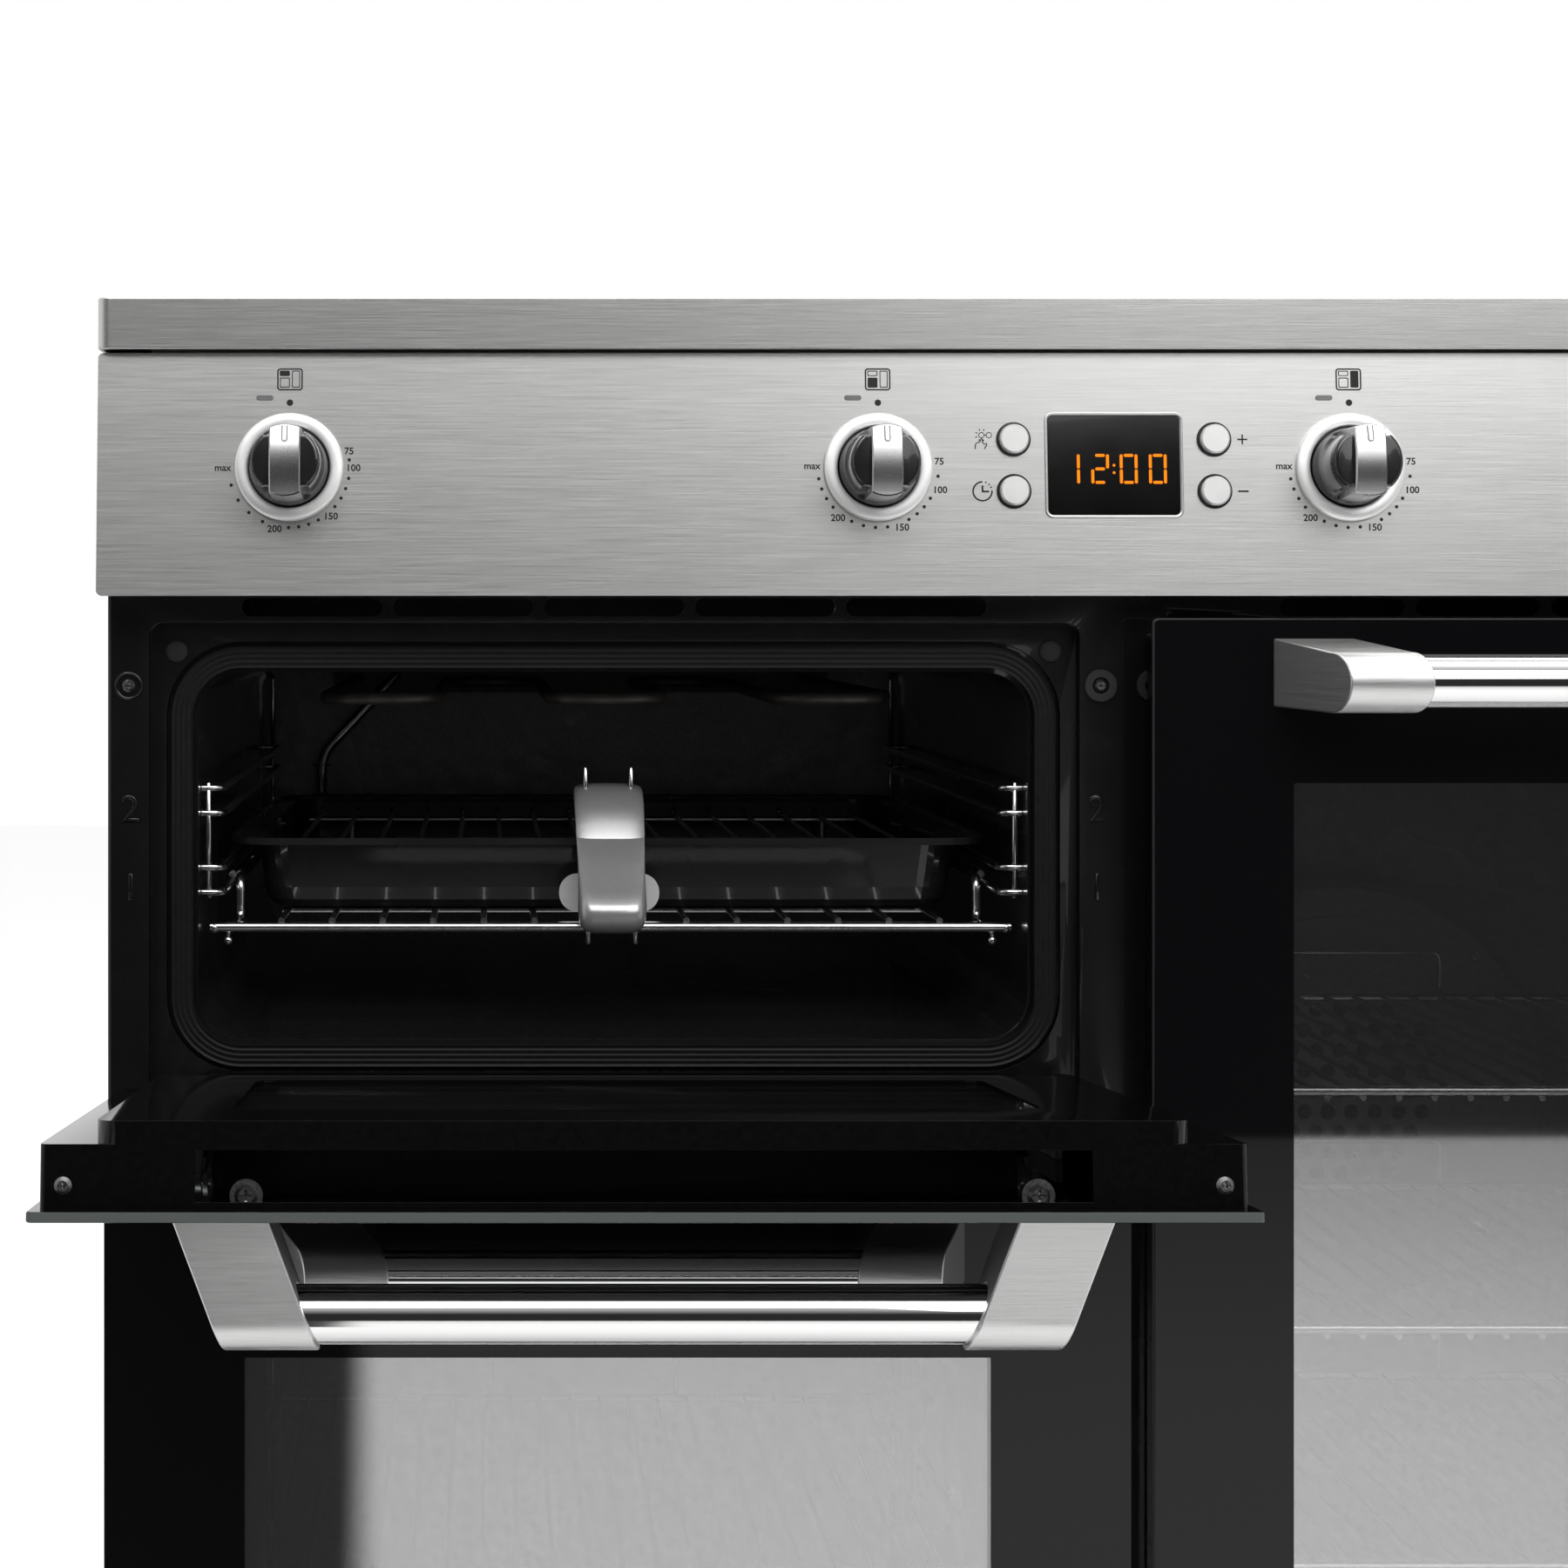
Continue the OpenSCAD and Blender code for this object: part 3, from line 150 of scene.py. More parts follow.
def finish(name, **fixed):
    """A new material, the place on the piece, and a call that feeds its shader."""
    material = bpy.data.materials.new(name)
    material.use_nodes = True
    shader = material.node_tree.nodes["Principled BSDF"]
    for key, value in fixed.items():
        shader.inputs[key.replace("_", " ")].default_value = value

    def feed(**feeds):
        for key, value in feeds.items():
            material.node_tree.links.new(value.socket, shader.inputs[key.replace("_", " ")])

    place = Feed(material.node_tree).node("TexCoord", out=3)
    return material, place, feed


def dress(material, *names):
    """Gives CAD nodes their material."""
    for name in names:
        solid = frame["nodes"][name]
        if not solid.data.materials:
            solid.data.materials.append(material)
        for held in solid.material_slots:
            held.material = material


zinc, place, feed = finish("galvanised_sheet", Metallic=0.9)
spangle = place.node("TexVoronoi", {"feature": "F1"}, 1, Vector=place, Scale=90.0)
crystal = spangle.node("SeparateColor", Color=spangle)
cloud = place.grain(14.0)
feed(Base_Color=(crystal * 0.35 + cloud * 0.5).blend((0.40, 0.41, 0.42), (0.62, 0.63, 0.64)),
     Roughness=crystal * 0.14 + 0.34, Normal=cloud.bump(0.15, 0.0006))
dress(zinc, "base_frame", "back_panel", "hob_tray", "hinge_receivers",
      "grill_door_hinges", "lower_door_hinges", "tall_door_hinges")


# Sheet screws of the back panel.
# Zinc-plated cross-head screws hold the back panel to the sides and the base
# frame. One tree makes a domed head with its cross and sets it on every point.

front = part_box("left_front_frame")[0][1]
to_row = Matrix.Translation((0, front, 0)) @ Matrix.Scale(0.001, 4)


def grained(name, scale, dark, light, rough, detail=2.0, stretch=(1, 1, 1), bump=None, **fixed):
    """A finish whose colour, roughness (span and least) and bump follow one noise."""
    made, place, feed = finish(name, **fixed)
    grain = place.grain(scale, detail, stretch)
    feed(Base_Color=grain.blend(dark, light), Roughness=grain * rough[0] + rough[1])
    if bump:
        feed(Normal=grain.bump(*bump))
    return made


def standing(name, data):
    """A new object with this data, in the scene."""
    made = bpy.data.objects.new(name, data)
    bpy.context.scene.collection.objects.link(made)
    return made


def settle(holder):
    """The evaluated shape of an object as a plain mesh; the object goes."""
    bpy.context.view_layer.update()
    held = bpy.context.evaluated_depsgraph_get()
    mesh = bpy.data.meshes.new_from_object(holder.evaluated_get(held), depsgraph=held)
    bpy.data.objects.remove(holder)
    return mesh


def piece(name, body, slot, material, *parts, smooth=35):
    """Joins meshes in millimetres from the cooker's front face into a piece on a body."""
    joined = bmesh.new()
    for part in parts:
        joined.from_mesh(part)
    bmesh.ops.remove_doubles(joined, verts=joined.verts, dist=0.002)
    bmesh.ops.recalc_face_normals(joined, faces=joined.faces)
    joined.transform(to_row)
    mesh = bpy.data.meshes.new(name)
    joined.to_mesh(mesh)
    joined.free()
    mesh.materials.clear()
    mesh.materials.append(material)
    mesh.shade_smooth()
    mesh.set_sharp_from_angle(angle=math.radians(smooth))
    made = standing(name, mesh)
    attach(made, body)
    return made


def new_tree(name, *inputs):
    """A geometry tree with these named inputs, and a call that ends it."""
    tree = bpy.data.node_groups.new(name, "GeometryNodeTree")
    for label, kind in (("Geometry", "Geometry"), *inputs):
        tree.interface.new_socket(label, in_out="INPUT", socket_type="NodeSocket" + kind)
    tree.interface.new_socket("Geometry", in_out="OUTPUT", socket_type="NodeSocketGeometry")
    entry = tree.nodes.new("NodeGroupInput")

    def end(last, material):
        loose = last.node("GeometryNodeRealizeInstances", Geometry=last)
        painted = last.node("GeometryNodeSetMaterial", Geometry=loose, Material=material)
        tree.links.new(painted.socket, tree.nodes.new("NodeGroupOutput").inputs[0])

    return tree, [Feed(tree, socket) for socket in entry.outputs[:-1]], end


def grow(tree, points=((0, 0, 0),), **values):
    """Runs a geometry tree on points and gives back its plain mesh."""
    seeds = bpy.data.meshes.new("seeds")
    seeds.from_pydata(points, [], [])
    holder = standing("seeds", seeds)
    maker = holder.modifiers.new(tree.name, "NODES")
    maker.node_group = tree
    for item in tree.interface.items_tree:
        if item.in_out == "INPUT" and item.name.replace(" ", "_") in values:
            maker[item.identifier] = values[item.name.replace(" ", "_")]
    return settle(holder)


cross_heads, (points, radius, rise, turn, paint), end = new_tree(
    "cross_heads", ("Radius", "Float"), ("Rise", "Float"), ("Turn", "Rotation"), ("Paint", "Material"))
dome = points.node("GeometryNodeMeshCone", Vertices=20, Side_Segments=3, Radius_Top=radius * 0.62,
                   Radius_Bottom=radius, Depth=rise)
slot_long, slot_wide = 1.1, 0.24
slots = [points.node("CombineXYZ", X=radius * x, Y=radius * y, Z=rise * 1.4)
         for x, y in ((slot_long, slot_wide), (slot_wide, slot_long))]
cuts = [points.node("GeometryNodeTransform", Geometry=points.node("GeometryNodeMeshCube", Size=size),
                    Translation=points.node("CombineXYZ", Z=rise * 1.1)) for size in slots]
head = points.node("GeometryNodeMeshBoolean", {"operation": "DIFFERENCE"}, Mesh_1=dome, Mesh_2=cuts)
end(points.node("GeometryNodeInstanceOnPoints", Points=points, Instance=head, Rotation=turn), paint)
screw_zinc = grained("plated_screw", 900.0, (0.34, 0.34, 0.33), (0.58, 0.57, 0.54), (0.2, 0.24),
                     bump=(0.2, 0.0002), Metallic=1.0)


def screws(name, body, material, turn, places, radius, rise):
    """Cross-head screws at these places as one piece."""
    heads = grow(cross_heads, places, Radius=radius, Rise=rise, Turn=turn, Paint=material)
    return piece(name, body, "zinc", material, heads, smooth=30)


back_face = 570.1
facing_back = (-math.pi / 2, 0, 0)
facing_front = (math.pi / 2, 0, 0)
back_edges = [(x, back_face, z) for x in (-438, 438) for z in (112, 300, 490, 680, 850)]
back_edges += [(x, back_face, z) for x in (-292, -146, 0, 146, 292) for z in (92, 866)]
screws("back_screws", "cooker", screw_zinc, facing_back, back_edges, radius=4.2, rise=2.2)


# Feet and mains terminal box.
# Moulded black plastic with an eroded, slightly rough surface. Faint scuffs make
# it greyer in places.

dark_plastic, place, feed = finish("moulded_black_plastic", Specular_IOR_Level=0.4)
erosion = place.grain(900.0, 2.0)
scuff = place.grain(45.0, 4.0)
feed(Base_Color=scuff.blend((0.018, 0.018, 0.019), (0.045, 0.045, 0.047)),
     Roughness=scuff * 0.2 + 0.5, Normal=erosion.bump(0.25, 0.0003))
dress(dark_plastic, "levelling_feet", "terminal_box")
box_x, box_face, box_z = 300, 597.0, 470
box_corners = [(box_x + x * 42, box_face, box_z + z * 34) for x in (-1, 1) for z in (-1, 1)]
screws("terminal_box_screws", "cooker", screw_zinc, facing_back, box_corners, radius=3.0, rise=1.0)


# Side panels and plinth.
# Steel sheet with a baked black paint: satin, with a fine orange peel and a
# little dust-grey unevenness.

side_paint, place, feed = finish("baked_black_paint", Coat_Weight=0.25, Coat_Roughness=0.2)
peel = place.grain(420.0, 2.0)
haze = place.grain(6.0, 4.0)
feed(Base_Color=haze.blend((0.016, 0.016, 0.017), (0.030, 0.030, 0.032)),
     Roughness=haze * 0.14 + 0.32, Normal=peel.bump(0.12, 0.0004))
dress(side_paint, "side_panel_left", "side_panel_right", "plinth")


# Hob trim.
# One folded frame of stainless sheet, brushed along its length, so that its
# fine lines run from side to side and its highlights spread up and down.

slot_of = {part["node"]: part["material_slot"] for part in frame["record"]["subparts"]}


def softened(name, width, segments=2):
    """A copy of a CAD node with its edges rounded by this many millimetres."""
    solid = frame["nodes"][name]
    copy = bmesh.new()
    copy.from_mesh(solid.data)
    bmesh.ops.remove_doubles(copy, verts=copy.verts, dist=0.00002)
    bmesh.ops.dissolve_limit(copy, angle_limit=math.radians(1), verts=copy.verts, edges=copy.edges)
    mesh = bpy.data.meshes.new(name + "_rounded")
    copy.to_mesh(mesh)
    copy.free()
    for held in solid.data.materials:
        mesh.materials.append(held)
    mesh.shade_smooth()
    mesh.set_sharp_from_angle(angle=math.radians(50))
    made = standing(name + "_rounded", mesh)
    edge = made.modifiers.new("rounded_edges", "BEVEL")
    edge.width = width / 1000
    edge.segments = segments
    edge.limit_method = "ANGLE"
    edge.angle_limit = math.radians(40)
    edge.harden_normals = True
    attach(made, solid["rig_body"])
    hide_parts(name)
    return made


brushed, place, feed = finish("brushed_steel", Metallic=1.0)
line = place.grain(1.0, 4.0, (28, 2100, 2100), 0.7)
band = place.grain(1.0, 2.0, (1.2, 260, 260))
feed(Base_Color=(line * 0.95 + band * 0.2 - 0.075).blend((0.42, 0.42, 0.415), (0.71, 0.705, 0.695)),
     Roughness=line * 0.14 + 0.30, Normal=line.bump(0.2, 0.00015))
dress(brushed, "hob_trim", "control_panel")
softened("hob_trim", 0.9, 3)


# Hob glass.
# A black ceramic glass plate lying in the trim. Printed on it are the five
# cooking zones, as thin light rings with a cross, and a row of touch marks.

middle_y = 0.272
zones = [(0.0, middle_y, 0.140)]
zones += [(x * 0.279, middle_y + y * 0.136, 0.095) for x in (-1, 1) for y in (-1, 1)]
hob_black, place, feed = finish("printed_hob_glass", Coat_Weight=0.4, Coat_Roughness=0.02)
across, along = place.axes()[:2]
marks = None
for x, y, r in zones:
    dx, dy = across - x, along - (front + y)
    reach = (dx * dx + dy * dy).maths("SQRT")
    rim = abs(reach - r) < 0.0007
    cross = ((abs(dx) < 0.0005) + (abs(dy) < 0.0005)) * (reach < 0.012)
    marks = rim + cross if marks is None else marks + rim + cross
half_key = 0.035
in_key = across.node("Math", {"operation": "WRAP"}, _0=across, _1=half_key, _2=-half_key)
key_y = along - (front + 0.022)
in_row = (abs(across) < 0.175) * (abs(key_y) < 0.004)
dash = (abs(abs(in_key) - 0.016) < 0.0025) * (abs(key_y) < 0.0004)
post = (abs(in_key - 0.016) < 0.0004) * (abs(key_y) < 0.0025)
ring = abs((in_key * in_key + key_y * key_y).maths("SQRT") - 0.0035) < 0.0003
marks = marks + in_row * (dash + post + ring)
speck = place.grain(160.0, 2.0)
dark = speck.blend((0.006, 0.006, 0.007), (0.010, 0.010, 0.011))
feed(Base_Color=marks.blend(dark, (0.42, 0.42, 0.41)), Roughness=marks * 0.3 + 0.05)
dress(hob_black, "hob_glass")


# Induction coils.
# Flat spirals of lacquered copper litz wire under the glass; each turn shows as
# a fine ring.

copper = grained("copper_winding", 600.0, (0.36, 0.14, 0.06), (0.70, 0.34, 0.18), (0.2, 0.3),
                 stretch=(1, 1, 0.2), bump=(0.4, 0.0004), Metallic=0.9)
dress(copper, "induction_coils")


# Control panel and its printed scales.
# The panel is stainless sheet like the trim. Round each knob, dots, numbers and
# a small picture of the three ovens are screen-printed on it in black.

def loft(rings, place=Matrix(), ends="capped"):
    """A skin over rings of points, capped, joined end to end, or with its top laid in rows."""
    skin = bmesh.new()
    laid = [[skin.verts.new(point) for point in points] for points in rings]
    for a, b in zip(laid, laid[1:] + laid[:1] if ends == "joined" else laid[1:]):
        for i in range(len(a)):
            j = (i + 1) % len(a)
            skin.faces.new((a[i], a[j], b[j], b[i]))
    if ends != "joined":
        skin.faces.new(laid[0][::-1])
    top = laid[-1]
    last = len(top) // 2
    if ends == "capped":
        skin.faces.new(top)
    elif ends == "rows":
        for i in range(last):
            row = [top[i], top[i + 1], top[i + 1 if i + 1 == last else -i - 1], top[-i]]
            skin.faces.new(list(dict.fromkeys(row)))
    mesh = bpy.data.meshes.new("loft")
    skin.to_mesh(mesh)
    skin.free()
    mesh.transform(place)
    return mesh


def circle(r, z=0.0, centre=(0, 0), steps=32):
    """A ring of points at one height."""
    turns = [2 * math.pi * i / steps for i in range(steps)]
    return [(centre[0] + r * math.cos(a), centre[1] + r * math.sin(a), z) for a in turns]


def turned(profile, place, steps, ends="capped"):
    """A round form of these radii and heights."""
    return loft([circle(r, z, steps=steps) for r, z in profile], place, ends)


def rounded(w, h, r, z=0.0, centre=(0, 0), steps=6):
    """The outline of a rounded rectangle at one height."""
    points = []
    for corner, (sx, sy) in enumerate(((1, 1), (-1, 1), (-1, -1), (1, -1))):
        for i in range(steps + 1):
            a = math.pi / 2 * (corner + i / steps)
            points.append((centre[0] + sx * (w / 2 - r) + r * math.cos(a),
                           centre[1] + sy * (h / 2 - r) + r * math.sin(a), z))
    return points


def lifted(points, z):
    """The same outline at another height."""
    return [(point[0], point[1], z) for point in points]


def plate(outline, low, high, place=Matrix()):
    """Flat stock of this outline between two heights."""
    return loft([lifted(outline, low), lifted(outline, high)], place)


def frame_of(outer, inner, low, high, place=Matrix()):
    """A flat closed band between two outlines of as many points."""
    rings = [lifted(outer, low), lifted(outer, high), lifted(inner, high), lifted(inner, low)]
    return loft(rings, place, "joined")


def stroke(points, width):
    """The outline of a line of this width along points."""
    left, right = [], []
    for i, (x, y) in enumerate(points):
        before = Vector(points[max(i - 1, 0)])
        after = Vector(points[min(i + 1, len(points) - 1)])
        way = (after - before).normalized()
        side = Vector((-way.y, way.x)) * width / 2
        left.append((x + side.x, y + side.y))
        right.append((x - side.x, y - side.y))
    return left + right[::-1]


def letters(text, size, high, centre, place=Matrix(), low=0.0, edge=0.0, weight=0.0):
    """Raised characters, centred on a point; edge rounds them and weight thickens them."""
    face = bpy.data.curves.new("letters", "FONT")
    face.body = text
    face.size = size
    face.align_x = "CENTER"
    face.align_y = "CENTER"
    face.resolution_u = 3
    face.extrude = (high - low) / 2 - edge
    face.bevel_depth = edge
    face.bevel_resolution = 1
    face.offset = weight - edge
    mesh = settle(standing("letters", face))
    mesh.transform(place @ Matrix.Translation((*centre, (high + low) / 2)))
    return mesh


panel_foot = (-28, 768)
panel_h = 108
panel_lean = -4
facing_out = Matrix.Rotation(math.radians(90), 4, "X")


def on_panel(x, drop):
    """The place on the leaning panel this far below its top edge, facing out."""
    lean = Matrix.Rotation(math.radians(panel_lean), 4, "X")
    up_face = Matrix.Translation((0, 0, panel_h - drop)) @ facing_out
    return Matrix.Translation((x, *panel_foot)) @ lean @ up_face


knob_drop = 51
knob_places = (-365, -104.4, 104.4, 365)
knob_faces = [on_panel(x, knob_drop) for x in knob_places]
film = 0.06
# A scale is the turns of its dots in degrees, and the places of its words.
wide_scale = ((83, 100.6, 110.8, 120.8, 130.8, 150.9, 160.9, 170.6, 180.3, 205.7, 221.3, 236.9, 252.7),
              ((26.5, 7.1), (28.4, -0.4), (18.5, -21.9), (-6.3, -27.5), (-29.4, -0.3)))
late_scale = ((98.6, 121, 131, 140.5, 150, 171.5, 183, 194.5, 206.3, 228.5, 238.7, 248.8, 258.9),
              ((27.1, 2.5), (27.3, -10.2), (10.3, -26.8), (-17.9, -22.6), (-29.2, 0.5)))
oven_words = ("75", "100", "150", "200", "max")
grill_words = ("1", "2", "3", "4", "5")
dot_ring, dot_r = 26.8, 0.78
zero_dot = circle(1.45, 0, (0.2, 28.8), 24)
# The oven picture: its outer band, and each oven's size and place in it.
picture = (0.2, 39.2)
picture_band = (rounded(11.4, 9.9, 1.4, 0, picture), rounded(10.1, 8.6, 0.8, 0, picture))
cells = ((4.5, 2.4, -2.3, 2.7), (4.4, 4.5, -2.25, -1.45), (3.6, 7.6, 2.65, 0.1))
prints = []
for here, (dots, spots), words, full in zip(knob_faces, (wide_scale, late_scale, late_scale, wide_scale),
                                            (oven_words, oven_words, oven_words, grill_words), (0, 1, 2, 0)):
    for turn in dots:
        a = math.radians(turn)
        spot = (dot_ring * math.sin(a), dot_ring * math.cos(a))
        prints.append(plate(circle(dot_r, 0, spot, 14), 0, film, here))
    prints.append(plate(zero_dot, 0, film, here))
    for word, spot in zip(words, spots):
        prints.append(letters(word, 4.3, film, spot, here, weight=0.09))
    prints.append(frame_of(*picture_band, 0, film, here))
    for index, (w, h, dx, dy) in enumerate(cells):
        spot = (picture[0] + dx, picture[1] + dy)
        outline = rounded(w, h, 0.5, 0, spot)
        if index == full:
            prints.append(plate(outline, 0, film, here))
        else:
            prints.append(frame_of(outline, rounded(w - 0.8, h - 0.8, 0.3, 0, spot), 0, film, here))
ink = grained("printing_ink", 800.0, 0.006, 0.016, (0.2, 0.45), Specular_IOR_Level=0.3)
piece("panel_scales", "cooker", "black_glass", ink, *prints)


# Thermostat lamps.
# A small oblong lens of smoked plastic left above each knob, pushed into a slot
# in the panel, lights while its oven heats.

lens_spot = (-10.9, 31.0)
lens_steps = ((7.6, 2.3, -0.4), (7.6, 2.3, 0.15), (7.1, 1.8, 0.4))
lens_rings = [rounded(w, h, h / 2 - 0.01, z, lens_spot) for w, h, z in lens_steps]
lenses = [loft(lens_rings, here) for here in knob_faces]
smoked = grained("smoked_lens", 240.0, 0.10, 0.17, (0.1, 0.25), Coat_Weight=0.3, Coat_Roughness=0.1)
piece("thermostat_lamps", "cooker", "dark_plastic", smoked, *lenses)


# Bezels.
# A smooth ring of satin aluminium round each knob, slightly domed, glued to the
# panel. A gloss black well fills the ring round the knob's foot.

satin = grained("satin_aluminium", 60.0, (0.86, 0.86, 0.855), (0.93, 0.93, 0.925), (0.08, 0.40), Metallic=0.7)
dome_ring = ((24.0, 0.0), (24.0, 1.7), (23.7, 2.3), (23.0, 2.7), (21.5, 2.95), (20.0, 2.95), (18.9, 2.7),
             (18.3, 2.3), (18.15, 1.2), (17.9, 0.1))
rings = [turned(dome_ring, here, 72, "joined") for here in knob_faces]
bezels = piece("domed_bezels", "cooker", "satin_metal", satin, *rings, smooth=50)
dress(satin, "knob_bezels")
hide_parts("knob_bezels")
gloss_black = grained("gloss_black_plastic", 80.0, (0.008, 0.008, 0.009), (0.016, 0.016, 0.017), (0.08, 0.12),
                      Coat_Weight=0.6, Coat_Roughness=0.03)
wells = [plate(circle(18.2, steps=48), 0, 0.3, here) for here in knob_faces]
piece("knob_wells", "cooker", "dark_plastic", gloss_black, *wells)


# Knobs.
# Each is moulded in gloss black plastic with four finger notches in its rim.
# A satin metal bar with chamfered edges is pressed across it, and a white line
# in a black groove near the bar's upper end is its index.

notch_turns = (60, 120, 240, 300)
notch_r = 3.4


def knob_ring(r, z, depth, steps=120):
    """A ring with the finger notches cut this deep into it."""
    points = []
    for i in range(steps):
        a = 2 * math.pi * i / steps
        reach = r
        for turn in notch_turns:
            away = (a - math.radians(turn) + math.pi) % (2 * math.pi) - math.pi
            if abs(away) < math.pi / 2 and abs(math.sin(away)) * (r + 1.4) < notch_r:
                centre = r + notch_r - depth
                inside = notch_r ** 2 - (centre * math.sin(away)) ** 2
                inner = centre * math.cos(away) - math.sqrt(max(inside, 0.0))
                reach = min(reach, max(inner, r - depth))
        points.append((reach * math.cos(a), reach * math.sin(a), z))
    return points


def bar_outline(r, half, z_of, steps=8):
    """The outline of the bar: two straight sides and two ends on a circle."""
    end = math.asin(half / r)
    right = [(r * math.sin(end * i / steps), r * math.cos(end * i / steps)) for i in range(steps + 1)]
    side = [(half, right[-1][1] * (1 - 2 * i / steps)) for i in range(1, steps)]
    low = [(x, -y) for x, y in right[::-1]]
    half_way = right + side + low
    other_way = [(-x, y) for x, y in half_way[::-1][1:-1]]
    return [(x, y, z_of(y)) for x, y in half_way + other_way]


def crown(y):
    """Height of the bar's gently curved face."""
    return 29.6 - 0.0105 * y * y


def bar(place):
    """The bar across a knob: its sides taper, its edges are chamfered, its face is crowned."""
    rings = [bar_outline(16.6, 6.9, lambda y: 4.2), bar_outline(15.75, 6.75, lambda y: crown(y) - 0.7),
             bar_outline(15.2, 6.2, crown)]
    return loft(rings, place, "rows")


def index_line(half, lift, place):
    """A raised line with one round end, lying along the crowned face."""
    arch = ((-1, 0.9), (-0.7, 0.3), (0, 0), (0.7, 0.3), (1, 0.9))
    foot = [(dx * half, 8.9 + (dy - 1) * half) for dx, dy in arch]
    outline = foot + [(half, y) for y in (11, 13, 14.9)] + [(-half, y) for y in (14.9, 13, 11)]
    return loft([[(dx, y, crown(y) + rise) for dx, y in outline] for rise in (-0.3, lift)], place)


gunmetal = grained("polished_gunmetal", 40.0, (0.42, 0.42, 0.425), (0.54, 0.54, 0.545), (0.06, 0.24),
                   Metallic=1.0)
white_line = grained("index_white", 600.0, (0.80, 0.80, 0.79), (0.90, 0.90, 0.89), (0.1, 0.3),
                     detail=1.0)
knob_profile = ((16.0, 1.5, 0), (17.4, 1.7, 0), (17.5, 3.2, 0), (17.0, 4.2, 0), (16.2, 5.6, 0.4),
                (15.7, 7.4, 1.3), (15.5, 12, 1.9), (15.3, 20, 2.0), (15.1, 24.6, 2.0), (14.7, 25.5, 1.9),
                (13.9, 26.0, 1.5), (13.0, 26.1, 1.2))
knob_nodes = ("knob_grill_oven", "knob_lower_oven", "knob_tall_oven", "knob_grill")
for number, (here, node) in enumerate(zip(knob_faces, knob_nodes), 1):
    body = "knob_%d" % number
    grip_skin = loft([knob_ring(*step) for step in knob_profile], here)
    grip = piece(body + "_grip", body, "knob", gloss_black, grip_skin)
    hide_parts(node)
    piece(body + "_bar", body, "satin_metal", gunmetal, bar(here), smooth=25)
    piece(body + "_groove", body, "white_plastic", gloss_black, index_line(1.45, 0.16, here))
    piece(body + "_index", body, "white_plastic", white_line, index_line(0.8, 0.26, here))
dress(gloss_black, *knob_nodes)


# Push buttons.
# Four satin metal caps stand in the panel, each in a black plastic collar. Thin
# printed signs beside them say what each does.

button_places = ((-44.4, 38.6), (-44.4, 61.7), (44.4, 38.6), (44.4, 61.7))
button_faces = [on_panel(x, drop) for x, drop in button_places]
cap_metal = grained("button_caps", 90.0, (0.62, 0.62, 0.615), (0.72, 0.72, 0.715), (0.08, 0.36),
                    Metallic=0.8)
dress(cap_metal, "button_light", "button_timer", "button_plus", "button_minus")
collar = (circle(7.7, steps=48), circle(6.75, steps=48))
collars = [frame_of(*collar, -0.5, 0.35, here) for here in button_faces]
piece("button_collars", "cooker", "dark_plastic", gloss_black, *collars)
light, timer, plus, minus = button_faces
dial_x, dial_r = -13.9, 4.2


def line_along(points, width, place):
    """A printed line along points."""
    return plate(stroke(points, width * 1.3), 0, film, place)


def ring_mark(centre, place, r=1.2, width=0.35):
    """A small printed ring."""
    outer, inner = [circle(r + away, 0, centre, 28) for away in (width / 2, -width / 2)]
    return frame_of(outer, inner, 0, film, place)


def on_dial(turn):
    """A point on the printed clock face, this many degrees round it."""
    return (dial_x + dial_r * math.cos(math.radians(turn)), dial_r * math.sin(math.radians(turn)))


bulb = (-14.1, 1.9)
signs = [line_along([(10.4, 0), (14.8, 0)], 0.5, plus), line_along([(12.6, -2.2), (12.6, 2.2)], 0.5, plus),
         line_along([(10.4, 0), (15.0, 0)], 0.6, minus),
         line_along([on_dial(turn) for turn in range(90, 376, 11)], 0.55, timer),
         line_along([(dial_x, 2.6), (dial_x, -0.2)], 0.6, timer),
         line_along([(-14.2, -0.1), (-11.0, -0.1)], 0.6, timer)]
signs += [plate(circle(0.38, 0, on_dial(turn), 10), 0, film, timer) for turn in (25, 47, 69)]
signs += [ring_mark(bulb, light), ring_mark((-10.8, 1.9), light),
          line_along([(-12.9, 1.9), (-12.0, 1.9)], 0.35, light)]
for turn in (65, 110, 155, 200, 245, 290):
    way = Vector((math.cos(math.radians(turn)), math.sin(math.radians(turn))))
    ray = [(bulb[0] + way.x * reach, bulb[1] + way.y * reach) for reach in (2.0, 2.9)]
    signs.append(line_along(ray, 0.35, light))
hand = [(-16.9, -4.3), (-16.8, -2.4), (-16.3, -1.5), (-14.9, -1.3), (-14.5, -0.2), (-14.1, 0.5),
        (-13.7, -0.2), (-13.6, -1.6), (-12.9, -2.2), (-11.9, -1.7), (-11.7, -2.3), (-12.9, -4.3)]
signs.append(line_along(hand, 0.38, light))
piece("button_signs", "cooker", "black_glass", ink, *signs)


# Clock.
# A gloss black window stands in a pressed opening whose edge is rolled in. Its
# figures are orange fluorescent segments behind the window.

clock = on_panel(0, 50)
lip = (((61.4, 47.4, 3.6), 0.0), ((61.2, 47.2, 3.5), 0.35), ((60.4, 46.4, 3.1), 0.6),
       ((59.2, 45.2, 2.7), 0.45), ((58.5, 44.5, 2.4), 0.0))
lip_skin = loft([rounded(*size, z) for size, z in lip], clock, "joined")
piece("clock_lip", "cooker", "steel", brushed, lip_skin, smooth=60)
display_black = grained("clock_window", 60.0, 0.001, 0.003, (0.05, 0.08), Coat_Weight=0.3,
                        Coat_Roughness=0.02)
dress(display_black, "display_window")
figure_low, figure_high = -0.19, -0.12


